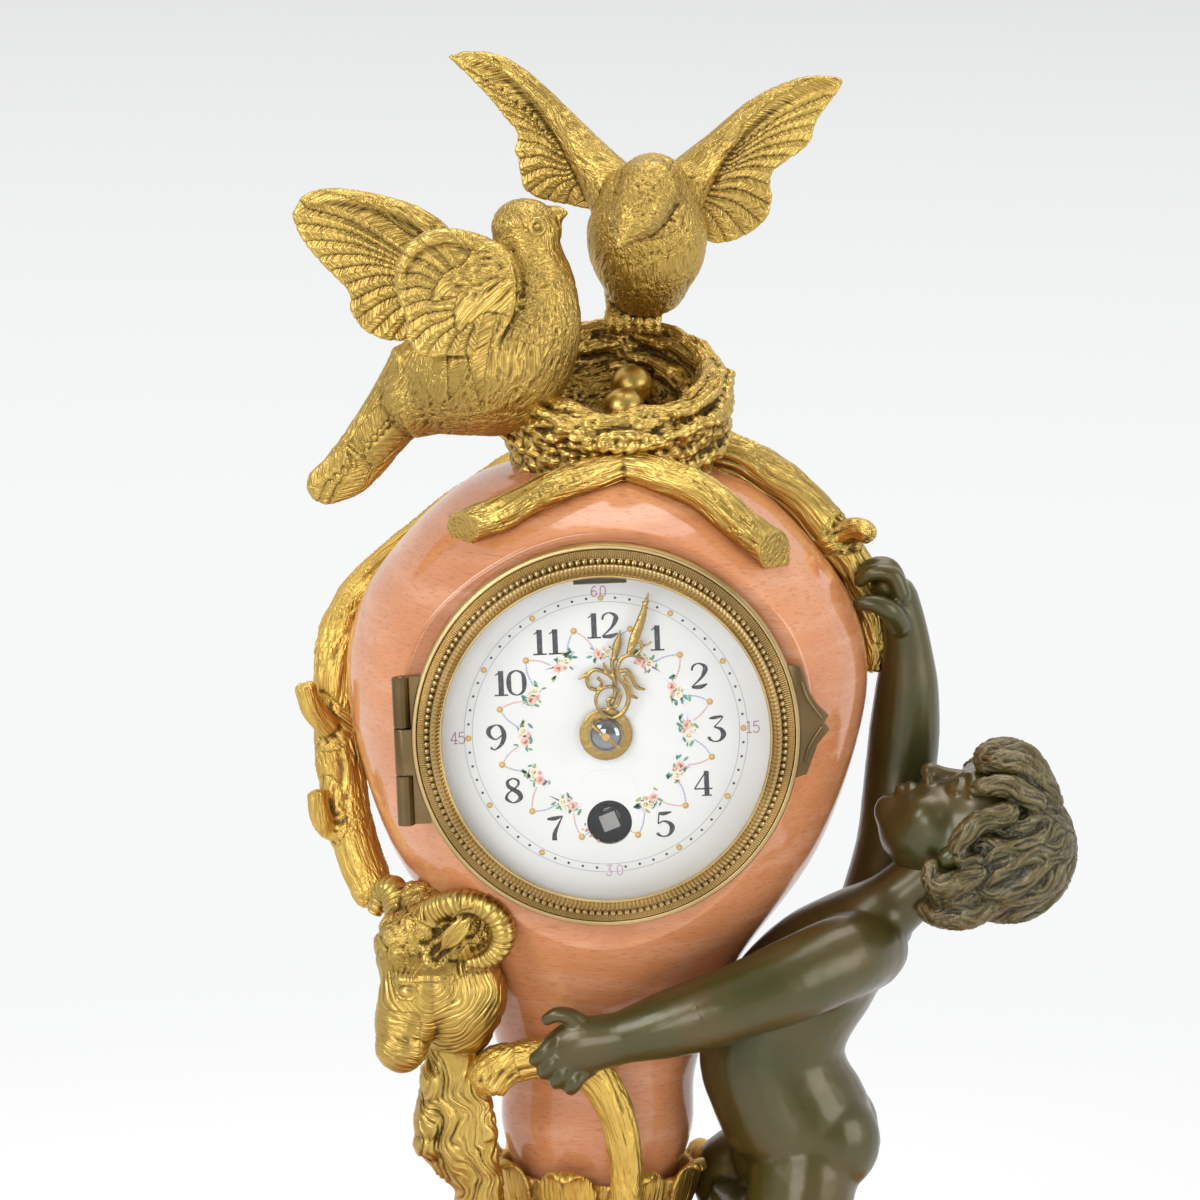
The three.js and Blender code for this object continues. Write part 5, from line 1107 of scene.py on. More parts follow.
low_arm = [
    (55, -14, FLOOR + 92, 8), (49, -22.5, FLOOR + 92, 8.8), (38, -29.5, FLOOR + 88.4, 8.6),
    (28, -33, FLOOR + 85, 7.8), (20.5, -34, FLOOR + 82.4, 7.6), (12, -34.2, FLOOR + 79.6, 6.6),
    (4.5, -34, FLOOR + 77.2, 5.4, 5), (-3, -34, FLOOR + 75.4, 6, 4.4),
    (-6.6, -33.6, FLOOR + 73.6, 5.6, 3.8),
]
raised_arm = [
    (56, -1, FLOOR + 94, 8.4), (60, 6, FLOOR + 108, 8), (61, 8.6, FLOOR + 121, 7.5),
    (61.8, 8.4, FLOOR + 133, 7.4), (62, 7, FLOOR + 143, 6.5), (61.6, 5.6, FLOOR + 151, 5.2),
    (60.6, 4.6, FLOOR + 157, 4.6, 4.8), (59.2, 4, FLOOR + 162, 4.4, 5),
]
limb(child, low_arm[:7], sides=22)
limb(child, raised_arm[:6], sides=22)
drape = [
    (40, -10, FLOOR + 37, 16.4, 19.4), (38.5, -9.5, FLOOR + 27, 16, 20),
    (39.5, -9, FLOOR + 17, 14.4, 19.6), (41, -9, FLOOR + 9.5, 13.4, 17.6),
]
limb(child, drape, sides=40, blunt=0.1)
child_skin = fuse(child, 0.62, 14)
DRAPE_HEM, DRAPE_TOP = FLOOR + 6.5, FLOOR + 38
DRAPE_FOLDS = 9


def bare_and_draped(k, place, normal):
    """Hanging folds on the drape, a plain skin elsewhere."""
    if DRAPE_HEM < place.z < DRAPE_TOP:
        out = Vector((place.x - 40, place.y + 9.5))
        cloth = clamp((out.length - 11) / 3) * clamp((DRAPE_TOP - place.z) / 8)
        turn = DRAPE_FOLDS * math.atan2(out.y, out.x)
        fold = math.sin(turn + 1.2 * math.sin(place.z * 0.12) + 2 * noise.noise(place * 0.05))
        return cloth * 1.1 * fold, (0, 0, 0)
    return 0.05 * noise.noise(place * 0.4), (0, 0, 0)


chase(child_skin, bare_and_draped)
fit("bronze_child", child_skin, bronze, [
    "figure_body", "figure_arm_low", "figure_arm_raised", "figure_drape",
])

# Hands of the child: cast with the arms, the low one closed over its branch with the thumb free, the
# raised one hooked over the branch at the shoulder.
hands = bmesh.new()
limb(hands, low_arm[4:], sides=22)
lump(hands, (-5.6, -33.2, FLOOR + 72.6), (5.8, 3.8, 6.2), Matrix.Rotation(0.5, 3, "Y"))
limb(hands, [
    (-2.4, -34.4, FLOOR + 78.6, 2.3), (-5.6, -35, FLOOR + 81.4, 1.9), (-8.6, -35.2, FLOOR + 82, 1.6),
    (-10.6, -35, FLOOR + 80.9, 1.3),
], sides=12)
for base, tip in (
    ((-9.4, 76), (-12.7, 72.4)), ((-8, 73.6), (-11, 69.8)), ((-6, 71.4), (-8.4, 67.8)),
    ((-3.8, 69.6), (-5.5, 66.6)),
):
    limb(hands, [
        (base[0] + 2, -34, FLOOR + base[1] + 1, 1.8), (base[0], -35.2, FLOOR + base[1], 1.75),
        ((base[0] + tip[0]) / 2, -35.8, FLOOR + (base[1] + tip[1]) / 2, 1.65),
        (tip[0], -34.4, FLOOR + tip[1], 1.6), (tip[0] + 0.6, -31.4, FLOOR + tip[1] - 0.6, 1.3),
    ], sides=12, across=(0, 1, 0.2))
limb(hands, raised_arm[3:], sides=22)
lump(hands, (57.4, 3.4, FLOOR + 164.4), (4, 5, 3.4))
for k, y in enumerate((-0.4, 2.4, 5.2, 7.8)):
    limb(hands, [
        (59.8, y, FLOOR + 163.4, 2.1), (58 - 0.3 * k, y - 0.6, FLOOR + 168.4 - abs(k - 1), 1.9),
        (54.2, y - 0.6, FLOOR + 169 - abs(k - 1), 1.7), (51.4, y, FLOOR + 167 - abs(k - 1), 1.4),
    ], sides=12)
limb(hands, [
    (59.6, 0, FLOOR + 157, 2.5), (57.4, -3, FLOOR + 160.4, 2.3), (54, -3.8, FLOOR + 162, 1.9),
    (51.4, -3.6, FLOOR + 161.8, 1.5),
], sides=12)
hands_skin = fuse(hands, 0.4, 3)
mark_recess(hands_skin)
fit("bronze_hands", hands_skin, bronze)

# Head of the child: cast with the figure, worked upright here and then tipped back. It has a plain
# calm child's face and thick wavy hair, combed from the crown and chased strand by strand.
head_turn = Matrix(((0.0, 0.29, 0.957), (-1.0, 0.0, 0.0), (0.0, -0.957, 0.29)))
head_frame = (
    Matrix.Translation((74.2, -10, FLOOR + 115)) @ head_turn.to_4x4() @ Matrix.Scale(1.1, 4)
)
skull = bmesh.new()
for place, radii in (
    ((0, 1.6, 3), (12.2, 14, 13.2)), ((0, -3.6, -5.4), (10.2, 8.8, 10.4)),
    ((0, -6.6, 4.4), (9.6, 6, 7)), ((0, -8.2, -12.2), (4.2, 3.8, 3.4)),
    ((5.2, -6.2, -6), (4.8, 5.4, 5.4)), ((-5.2, -6.2, -6), (4.8, 5.4, 5.4)),
):
    lump(skull, place, radii)
face = bmesh.new()
face.from_mesh(fuse(skull, 0.55, 24))
for side in (-1, 1):
    lump(face, (side * 4.2, -9.3, 0.2), (2.5, 2.3, 1.7))
    limb(face, [
        (side * 1.9, -10.9, 0.6, 0.5), (side * 4.2, -11.5, 1.7, 0.6), (side * 6.7, -9.9, 0.6, 0.5),
    ], sides=10)
    limb(face, [
        (side * 1.5, -11.5, 3.2, 0.9), (side * 4.6, -11.3, 4.2, 1.1), (side * 8, -8.8, 3, 0.8),
    ], sides=10)
    lump(face, (side * 1.4, -12.6, -3.9), (1.4, 1.5, 1.2))
    lump(face, (side * 10.8, 0.6, -3.4), (1.6, 2.2, 3.2), Matrix.Rotation(0.2, 3, "X"))
    limb(face, [(side * 2.7, -11, -8.1, 0.6), (side, -12.1, -7.5, 0.9), (0, -12.2, -7.7, 0.9)], sides=10)
limb(face, [(0, -11.3, 2.6, 1.2), (0, -12.6, -0.8, 1.4), (0, -13.9, -3.3, 1.8)], sides=12)
limb(face, [(-2.1, -11, -8.9, 0.6), (0, -12.1, -9.5, 1.2), (2.1, -11, -8.9, 0.6)], sides=10)
face_skin = fuse(face, 0.36, 7)
mark_recess(face_skin)
fit("bronze_face", face_skin, bronze, ["figure_head"], place=pear_frame @ head_frame)

# The hair's ridges take a lighter golden brown, rubbed wear with a painted highlight, and its grooves a dark
# colour, grime with painted shade.
hair_finish = cast_metal(
    "rubbed bronze", 0.3, 0.45, 0.32, Metal=(0.085, 0.066, 0.022, 1), Dull=(0.06, 0.05, 0.016, 1),
    Grime=(0.016, 0.013, 0.007, 1), Grime_Level=0.95, Rub=(0.21, 0.155, 0.058, 1), Rub_Share=0.55,
    Gloss=0.24, Grain=600,
)
LOCKS = 30
locks = []
for k in range(LOCKS):
    around = math.tau * (k + 0.5) / LOCKS
    reach = 1.9 if math.sin(around) > -0.45 else 1.15
    lock = []
    for j in range(8):
        fall = 0.12 + reach * j / 7
        turn = around + 0.13 * math.sin(3.6 * fall + 1.7 * k)
        out = Vector((math.sin(fall) * math.cos(turn), math.sin(fall) * math.sin(turn), math.cos(fall)))
        lock.append((13 * out.x, 4 + 12.6 * out.y, 6 + 12 * out.z, 1.8 - 0.05 * j))
    locks.append(lock)
for side in (-1, 1):
    locks += [
        [(side * 4, -3, 17, 2.2), (side * 6.6, -9.6, 15, 2.6), (side * 6, -13, 10.8, 2.4),
         (side * 4.2, -13.2, 7.2, 2), (side * 2.4, -11.8, 6.4, 1.3)],
        [(side * 9, -5, 14, 2.2), (side * 10.4, -9, 10.6, 2.2), (side * 10.4, -10.4, 6.6, 1.9),
         (side * 9.4, -10.4, 4, 1.4)],
        [(side * 12, -5, 8.6, 2.2), (side * 13.2, -5, 3, 2.2), (side * 13, -2.4, -1.4, 2),
         (side * 12.8, 0.8, -2, 1.6), (side * 13, 1.6, 0.6, 1.2)],
        [(side * 13.2, 4, 0, 2.2), (side * 13.4, 5, -4.6, 2.4), (side * 12.4, 3.6, -8.4, 2),
         (side * 12, 0.8, -7.6, 1.4)],
        [(side * 9, 11.4, 2, 2.4), (side * 9.6, 12.4, -3.6, 2.5), (side * 8, 11.6, -8.4, 2.1),
         (side * 6, 9.8, -11, 1.6)],
        [(side * 4, 12.4, 0, 2.4), (side * 4.4, 13.4, -4.6, 2.5), (side * 3, 12, -9.6, 2.1),
         (side * 1.4, 9.8, -11.6, 1.6)],
    ]
hair = bmesh.new()
lump(hair, (0, 4, 6), (13.6, 13.2, 12.6))
lump(hair, (0, 8.2, -3), (12, 6.6, 8.4))
for lock in locks:
    limb(hair, lock, sides=12, steps=4)
hair_skin = fuse(hair, 0.34, 6)
lock_spots = nearest_on(hair_skin, [path_of(lock) for lock in locks])


def strands(k, place, normal):
    """Fine strands that run along each lock."""
    number, run, along, offset, *_ = lock_spots[k]
    wave = along.cross(normal) * (0.7 * math.sin(0.8 * run + 2 * number))
    strand = (offset + wave) * 2.9 + along * (run * 0.07) + Vector((0, 0, 6 * number))
    return 0.38 * (0.5 - 2.2 * abs(noise.noise(strand * 0.5))), strand


chase(hair_skin, strands)
fit("bronze_hair", hair_skin, hair_finish, place=pear_frame @ head_frame)

# Movement: a small spring-driven clockwork of brass plates and wheels with steel arbors, held by two
# straps behind the dial. It shows only through the bore when a door is open.


def dress(name, finish):
    """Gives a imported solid, which shows as it is, its finish."""
    data = frame["nodes"][name].data
    data.materials.clear()
    data.materials.append(finish)


movement_brass = cast_metal(
    "movement brass", 0.1, Metal=(0.55, 0.33, 0.08, 1), Dull=(0.46, 0.27, 0.07, 1),
    Grime=(0.2, 0.11, 0.03, 1), Grime_Level=0.75, Gloss=0.22, Grain=2200,
)
steel = cast_metal(
    "polished steel", 0.06, Metal=(0.58, 0.58, 0.58, 1), Dull=(0.46, 0.46, 0.47, 1),
    Grime=(0.16, 0.14, 0.12, 1), Grime_Level=0.85, Gloss=0.12, Grain=2600,
)
old_brass = cast_metal(
    "aged brass", 0.2, Metal=(0.56, 0.41, 0.19, 1), Dull=(0.44, 0.32, 0.14, 1),
    Grime=(0.06, 0.042, 0.02, 1), Grime_Level=1.0, Gloss=0.26, Grain=1800,
)
slot_finish = {
    "brass": movement_brass, "steel": steel, "old_brass": old_brass, "gilt": burnished, "marble": marble,
}
for entry in frame["record"]["subparts"]:
    if entry["material_slot"] in slot_finish:
        dress(entry["node"], slot_finish[entry["material_slot"]])

blued = cast_metal(
    "blued steel", 0.05, Metal=(0.012, 0.013, 0.02, 1), Dull=(0.008, 0.009, 0.014, 1),
    Grime=(0.006, 0.006, 0.006, 1), Gloss=0.08, Grain=2600,
)
# A steel darkened well below the polished steel for the winding arbor, deep in its hole: painted shade that also
# dims its reflections.
shaded_steel = cast_metal(
    "shaded steel", 0.12, Metal=(0.27, 0.26, 0.25, 1), Dull=(0.2, 0.19, 0.18, 1),
    Grime=(0.06, 0.055, 0.05, 1), Gloss=0.3, Grain=2200,
)
dress("ratchet_wheel", blued)
dress("winding_arbor", shaded_steel)

# Dial: a disc of white enamel fired on copper, flat and glossy, with the winding hole and a slot at
# the top. Time has greyed it a little and crazed it finely.
enamel, tree, shader = new_material("white enamel")
where = node(tree, "TexCoord").outputs["Object"]
cloudy = mottle(tree, where, 70, 3)
milk = ramp(tree, cloudy, (0.3, (0.69, 0.685, 0.665)), (0.7, (0.73, 0.725, 0.71)))
pits = mottle(tree, where, 1400, 2)
spotted = blend(tree, smooth_step(tree, pits, 0.74, 0.8), milk, (0.62, 0.6, 0.56, 1))
plug(tree, shader, {"Base Color": spotted, "Roughness": 0.1})
dress("dial_plate", enamel)

# Painting on the dial: black numerals and minute dots, magenta quarters, gold dots, and sprays of
# roses on beaded swags, all painted in overglaze colours and fired.
DIAL_TURN = math.radians(-3.5)
DIAL_FRONT = -1.9
PAINT = 0.02
MINUTE_RING = 27.5
HOUR_RING = 21.9
SPRAY_RING = 16.4
WINDING_HOLE = Vector((0, -17.6))
QUARTER_PEN = 0.23
clock_frame = Matrix.Translation(dial_centre) @ Matrix.Rotation(DIAL_TURN, 4, "Y") @ millimetres
painting = bmesh.new()
tint = painting.verts.layers.float_color.new("tint")
INK = (0.012, 0.013, 0.018)
MAGENTA = (0.46, 0.13, 0.36)
FADED = (0.54, 0.3, 0.46)
PENCIL = (0.3, 0.3, 0.3)
OCHRE = (0.5, 0.27, 0.045)
GOLD = (0.68, 0.42, 0.1)


def daub(made, colour):
    """Colours painted points."""
    for vert in made:
        vert[tint] = (*colour, 1)


def dot(x, z, radius, colour, squash=1.0, turn=0.0, layer=0.0, sides=12):
    """A flat dab of paint, round or drawn out to a petal or leaf."""
    form = (
        Matrix.Translation((x, DIAL_FRONT - PAINT - layer, z)) @ Matrix.Rotation(turn, 4, "Y")
        @ Matrix.Diagonal((radius, 1, radius * squash, 1)) @ Matrix.Rotation(math.pi / 2, 4, "X")
    )
    made = bmesh.ops.create_circle(painting, cap_ends=True, segments=sides, radius=1, matrix=form)
    daub(made["verts"], colour)


def stroke(points, colour, steps=6, layer=0.0):
    """A brush stroke on the dial through (x, z, width) points."""
    rows = flow(points, steps)
    pair = None
    for k, (x, z, width) in enumerate(rows):
        before, after = rows[max(k - 1, 0)], rows[min(k + 1, len(rows) - 1)]
        way = Vector((after[0] - before[0], after[1] - before[1])).normalized()
        side = Vector((-way.y, way.x)) * width / 2
        y = DIAL_FRONT - PAINT - layer
        ends = [Vector((x + side.x, y, z + side.y)), Vector((x - side.x, y, z - side.y))]
        if pair is None:
            pair = [painting.verts.new(end) for end in ends]
            edge = painting.edges.new(pair)
            daub(pair, colour)
            continue
        grown = bmesh.ops.extrude_edge_only(painting, edges=[edge])["geom"]
        fresh = verts_in(grown)
        edge = next(e for e in grown if isinstance(e, bmesh.types.BMEdge) and set(e.verts) == set(fresh))
        if (fresh[0].co - pair[0].co).length > (fresh[1].co - pair[0].co).length:
            fresh.reverse()
        fresh[0].co, fresh[1].co = ends
        pair = fresh
        daub(pair, colour)


NUMERALS = {
    "0": [[(0.3, 1, 0.03), (0.1, 0.86, 0.08), (0.05, 0.5, 0.13), (0.1, 0.14, 0.08), (0.3, 0, 0.03),
           (0.5, 0.14, 0.08), (0.55, 0.5, 0.13), (0.5, 0.86, 0.08), (0.3, 1, 0.03)]],
    "1": [[(0.3, 0, 0.14), (0.3, 1, 0.14)], [(0.3, 0.98, 0.03), (0.12, 0.82, 0.025)],
          [(0.08, 0.01, 0.035), (0.52, 0.01, 0.035)]],
    "2": [[(0.08, 0.72, 0.05), (0.12, 0.9, 0.05), (0.3, 1, 0.03), (0.49, 0.88, 0.1), (0.5, 0.7, 0.13),
           (0.36, 0.4, 0.06), (0.06, 0.06, 0.025)],
          [(0.06, 0.04, 0.06), (0.34, 0.05, 0.11), (0.56, 0.16, 0.03)]],
    "3": [[(0.1, 0.94, 0.03), (0.3, 0.97, 0.09), (0.54, 0.98, 0.03), (0.26, 0.58, 0.03)],
          [(0.26, 0.58, 0.03), (0.46, 0.5, 0.09), (0.55, 0.28, 0.14), (0.44, 0.05, 0.06), (0.25, 0, 0.03),
           (0.1, 0.1, 0.07), (0.08, 0.2, 0.08)]],
    "4": [[(0.42, 0, 0.13), (0.42, 1, 0.13)], [(0.42, 1, 0.03), (0.02, 0.28, 0.03)],
          [(0.02, 0.28, 0.035), (0.6, 0.28, 0.035)], [(0.26, 0.01, 0.03), (0.58, 0.01, 0.03)]],
    "5": [[(0.14, 0.95, 0.06), (0.3, 0.93, 0.1), (0.54, 0.99, 0.03)],
          [(0.14, 0.96, 0.03), (0.1, 0.52, 0.03)],
          [(0.1, 0.52, 0.03), (0.28, 0.62, 0.04), (0.48, 0.52, 0.1), (0.55, 0.32, 0.14),
           (0.44, 0.06, 0.06), (0.25, 0, 0.03), (0.1, 0.08, 0.07), (0.08, 0.16, 0.08)]],
    "6": [[(0.5, 0.9, 0.06), (0.36, 1, 0.03), (0.13, 0.76, 0.1), (0.05, 0.4, 0.13), (0.14, 0.09, 0.08),
           (0.3, 0, 0.03), (0.5, 0.12, 0.1), (0.55, 0.3, 0.12), (0.46, 0.5, 0.07), (0.3, 0.58, 0.03),
           (0.12, 0.42, 0.03)]],
    "7": [[(0.06, 0.88, 0.05), (0.3, 0.9, 0.11), (0.56, 0.98, 0.03)],
          [(0.55, 0.96, 0.025), (0.4, 0.6, 0.06), (0.29, 0.3, 0.11), (0.27, 0, 0.13)]],
    "8": [[(0.3, 1, 0.03), (0.13, 0.88, 0.07), (0.15, 0.68, 0.1), (0.3, 0.54, 0.11), (0.48, 0.38, 0.13),
           (0.52, 0.17, 0.11), (0.3, 0, 0.03), (0.08, 0.16, 0.08), (0.12, 0.37, 0.05), (0.3, 0.54, 0.03),
           (0.46, 0.72, 0.05), (0.46, 0.9, 0.06), (0.3, 1, 0.03)]],
}
NUMERALS["9"] = [[(0.6 - x, 1 - z, w) for x, z, w in line] for line in NUMERALS["6"]]


def numeral(text, x, z, height, colour, pitch=3.1, pen=None):
    """Writes a number upright on the dial, centred on a point. A pen gives one thin line width."""
    wide = 1.0 if pen else 1.24
    start = x - pitch * (len(text) - 1) / 2 - 0.3 * wide * height
    for k, figure in enumerate(text):
        for line in NUMERALS[figure]:
            stroke([
                (start + k * pitch + a * wide * height, z + (b - 0.5) * height,
                 pen or (w * 1.45 + 0.012) * height)
                for a, b, w in line
            ], colour)


def on_dial(radius, minutes):
    """(x, z) at a radius, minutes clockwise from the top."""
    angle = math.radians(6 * minutes)
    return radius * math.sin(angle), radius * math.cos(angle)


for radius in (26.7, 28.3):
    stroke([(*on_dial(radius, m), 0.11) for m in range(0, 61)], PENCIL, steps=3)
for minute in range(60):
    if minute % 5:
        dot(*on_dial(MINUTE_RING, minute), 0.27, INK)
    elif minute != 30:
        dot(*on_dial(MINUTE_RING, minute), 0.62, OCHRE, layer=0.02)
        dot(*on_dial(MINUTE_RING, minute), 0.34, GOLD, layer=0.03)
for quarter, x, z, height, colour, pitch in (
    ("60", -0.4, 28.8, 2.1, MAGENTA, 1.8), ("15", 29.3, 0.2, 2.4, MAGENTA, 1.4),
    ("30", 0.6, -28, 2.1, FADED, 2.2), ("45", -29.6, 0.2, 2.4, MAGENTA, 1.5),
):
    numeral(quarter, x, z, height, colour, pitch, QUARTER_PEN)
for hour in (1, 2, 3, 4, 5, 7, 8, 9, 10, 11, 12):
    numeral(str(hour), *on_dial(HOUR_RING, 5 * hour), 5, INK)
ROSE = [(0.8, 0.42, 0.33), (0.84, 0.52, 0.42), (0.66, 0.14, 0.08), (0.86, 0.64, 0.56), (0.78, 0.26, 0.13)]
CREAM = [(0.85, 0.7, 0.48), (0.74, 0.48, 0.2), (0.86, 0.78, 0.62), (0.82, 0.6, 0.36), (0.8, 0.5, 0.4)]
LEAF = [(0.08, 0.3, 0.1), (0.04, 0.28, 0.22), (0.3, 0.38, 0.1), (0.12, 0.34, 0.2), (0.03, 0.2, 0.16)]
WISP = [(0.7, 0.56, 0.74), (0.78, 0.62, 0.72), (0.62, 0.6, 0.76)]
BEADED = {-1: [(0.05, 0.06, 0.26), (0.3, 0.34, 0.55)], 1: [(0.5, 0.04, 0.05), (0.68, 0.3, 0.3)]}
brush = random.Random(23)
for hour in range(12):
    if hour == 6:
        continue
    x, z = on_dial(SPRAY_RING, 5 * hour)
    around = math.radians(30 * hour)
    along = Vector((math.cos(around), -math.sin(around)))
    outward = Vector((math.sin(around), math.cos(around)))
    for _ in range(18):
        reach, turn = brush.uniform(1.6, 3.6), brush.uniform(0, math.tau)
        way = along * math.cos(turn) * 1.2 + outward * math.sin(turn) * 0.75
        stroke([
            (x + way.x * 0.5, z + way.y * 0.5, 0.34),
            (x + way.x * reach * 0.6, z + way.y * reach * 0.6, 0.24),
            (x + way.x * reach, z + way.y * reach, 0.08),
        ], brush.choice(WISP), steps=2)
    for _ in range(15):
        spot = along * brush.uniform(-2.9, 2.9) + outward * brush.uniform(-1.7, 1.7)
        dot(
            x + spot.x, z + spot.y, brush.uniform(0.5, 0.8), brush.choice(LEAF), 0.42,
            brush.uniform(0, 3.1), 0.02, 8,
        )
    for place, rise, size, colours in ((-1.05, -0.2, 0.9, ROSE), (1.05, 0.1, 0.86, CREAM),
                                       (0.1, 0.85, 0.5, CREAM), (0.2, -0.9, 0.46, ROSE)):
        cx, cz = x + along.x * place + outward.x * rise, z + along.y * place + outward.y * rise
        dot(cx, cz, size, colours[0], layer=0.03, sides=14)
        for ring, petals in ((0.66, 7), (0.34, 5)):
            for petal in range(petals):
                turn = petal * math.tau / petals + brush.uniform(0, 0.6)
                dot(
                    cx + ring * size * math.cos(turn), cz + ring * size * math.sin(turn),
                    size * brush.uniform(0.3, 0.44), brush.choice(colours), 0.6, -turn + math.pi / 2,
                    0.04 - 0.02 * ring, 8,
                )
        dot(cx, cz, size * 0.2, colours[2], layer=0.05, sides=8)
for hour in range(12):
    gold = Vector(on_dial(21.7, 5 * hour + 2.5))
    dot(gold.x, gold.y, 0.66, OCHRE, layer=0.02)
    dot(gold.x - 0.1, gold.y + 0.1, 0.34, GOLD, layer=0.03)
    for side, colours in BEADED.items():
        end = Vector(on_dial(17.6, 5 * hour + 2.5 + side * 1.45))
        sag = (end - gold).orthogonal().normalized() * 0.4 * side
        for k in range(1, 11):
            spot = gold.lerp(end, k / 10.5) + sag * math.sin(k / 10.5 * math.pi)
            if (spot - WINDING_HOLE).length > 4.9:
                dot(spot.x, spot.y, 0.22 if k % 2 else 0.14, colours[k % 2], layer=0.01, sides=8)
MEND = (0.62, 0.6, 0.56)
stroke([
    (-5.4, -10.6, 0.09), (-4.4, -8.4, 0.07), (-1, -7.4, 0.1), (3, -7.9, 0.06), (5.2, -9.6, 0.1),
    (6, -12.4, 0.06),
], MEND)
for x, z, size in (
    (-4.6, -19.6, 0.5), (-4.9, -18.4, 0.36), (-3.8, -20.8, 0.46), (-5.4, -19.4, 0.28), (-2.4, -21.9, 0.4),
):
    dot(x, z, size, (0.5, 0.2, 0.1), 0.6, brush.uniform(0, 3), 0.01, 7)
overglaze, tree, shader = new_material("overglaze paint")
colour = node(tree, "Attribute", attribute_name="tint").outputs["Color"]
thin = mottle(tree, node(tree, "TexCoord").outputs["Object"], 2600, 2)
washed = math_node(tree, "MULTIPLY", smooth_step(tree, thin, 0.52, 0.85), 0.22)
plug(tree, shader, {"Base Color": blend(tree, washed, colour, (0.8, 0.79, 0.77, 1)), "Roughness": 0.2})
for face in painting.faces:
    face.normal_update()
    if face.normal.y > 0:
        face.normal_flip()
painted = bpy.data.meshes.new("piece")
painting.to_mesh(painted)
painting.free()
fit("dial_painting", painted, overglaze, place=clock_frame)

# Hands: two pierced rococo scrolls sawn from gilt brass and chased. The hour hand is pressed on its
# pipe; a domed steel nut with a brass taper pin holds the minute hand on the centre arbor.
# The dark colour in the hands' hollows is grime with painted shade.
hand_gilt = cast_metal(
    "gilt of the hands", 0.1, Metal=(0.4, 0.255, 0.06, 1), Dull=(0.32, 0.2, 0.05, 1),
    Grime=(0.1, 0.07, 0.03, 1), Grime_Level=0.9, Gloss=0.14, Grain=1800,
)
HAND_TURN = Matrix.Rotation(math.radians(2.25), 4, "Y")
HAND_THICK = 0.5


def scrollwork(y, lines, boss, hole):
    """A flat hand at a depth: lines of (x, z, half width) and a ring for its boss."""
    front, back = y - HAND_THICK / 2, y + HAND_THICK / 2
    bm = spun([(hole, front), (boss, front), (boss, back), (hole, back), (hole, front)], 64, (0, 1, 0))
    for line in lines:
        limb(bm, [(x, y, z, width, 0.26) for x, z, width in line], sides=10, steps=6, blunt=0.6)
    bmesh.ops.transform(bm, matrix=HAND_TURN, verts=bm.verts)
    data = fuse(bm, 0.13, 1)
    chase(data, lambda k, place, normal: (0.03 * noise.noise(place * 2.2), (0, 0, 0)))
    return data


minute_lines = [
    [(-0.3, 3, 0.5), (-0.3, 4.1, 0.45), (1.2, 3.5, 0.45), (3.3, 4.5, 0.5), (4.5, 7.2, 0.5),
     (3.9, 9.8, 0.45), (2.6, 11.7, 0.45), (2.3, 13.7, 0.45), (3.1, 15.5, 0.42), (4.9, 16.3, 0.4),
     (6.6, 15.7, 0.3), (7.6, 15.5, 0.2)],
    [(-0.3, 4.1, 0.4), (-1.6, 5.6, 0.4), (-2, 7.5, 0.4), (-0.9, 9.4, 0.4), (1.2, 9.8, 0.4),
     (2.8, 8.3, 0.38), (2.2, 6, 0.35), (0.8, 5.8, 0.32), (0.3, 7, 0.32), (1, 7.5, 0.4)],
    [(4.5, 16.2, 0.6), (5.6, 19.4, 1.05), (6.8, 22.8, 0.95), (7.7, 25.9, 0.6), (8.4, 28.8, 0.14)],
    [(6, 16.3, 0.3), (7, 17.5, 0.3), (6.8, 19, 0.3)],
    [(7, 19, 0.3), (7.3, 18.2, 0.28), (8.3, 18.4, 0.25), (9, 18.9, 0.2)],
    [(2.8, 12.9, 0.4), (4.1, 13.1, 0.55), (5.2, 11.7, 0.5), (6.2, 9.8, 0.5), (7.8, 9.3, 0.2)],
    [(3.7, 12.1, 0.4), (4.7, 9.8, 0.45), (5.2, 8.1, 0.45), (6.3, 7.5, 0.2)],
]
for x, z in ((6.9, 20.2), (7.4, 21.6), (7.8, 22.9), (8.1, 24.2), (8.3, 25.5), (8.5, 26.7)):
    minute_lines.append([(x - 1, z - 0.2, 0.4), (x, z + 0.3, 0.16)])
hour_lines = [
    [(0, 4.1, 0.6), (1.8, 7.9, 0.5), (1.6, 11.4, 0.5), (1.2, 14.4, 0.45), (1.6, 15.6, 0.5)],
    [(1.6, 15.2, 0.55), (2.2, 17.9, 0.85), (2.6, 19.6, 0.5), (2.8, 21.1, 0.12)],
    [(1.6, 11.4, 0.4), (-0.1, 12.5, 0.42), (-2.2, 13.1, 0.42), (-3.7, 11.6, 0.4), (-3.4, 9.6, 0.4),
     (-1.6, 9.1, 0.38), (-0.9, 10.4, 0.35), (-1.6, 11.4, 0.4)],
    [(-3.4, 12.2, 0.5), (-4.4, 11.8, 0.4), (-5.5, 11.1, 0.15)],
    [(1.2, 11.4, 0.4), (0.1, 12.9, 0.4), (-0.5, 14.4, 0.2)],
]
for name, y, lines, boss, hole, solid, body in (
    ("hour_scroll", -2.85, hour_lines, 5.3, 2.6, "hour_hand", "hour"),
    ("minute_scroll", -3.95, minute_lines, 3.1, 2.1, "minute_hand", "centre"),
):
    fit(name, scrollwork(y, lines, boss, hole), hand_gilt, [solid], body, clock_frame)
dome = spun([
    (0, -6), (0.85, -6), (0.85, -5.7), (1.7, -5.6), (2.6, -5.2), (3.15, -4.7), (3.3, -4.4), (0, -4.4),
], 48, (0, 1, 0))
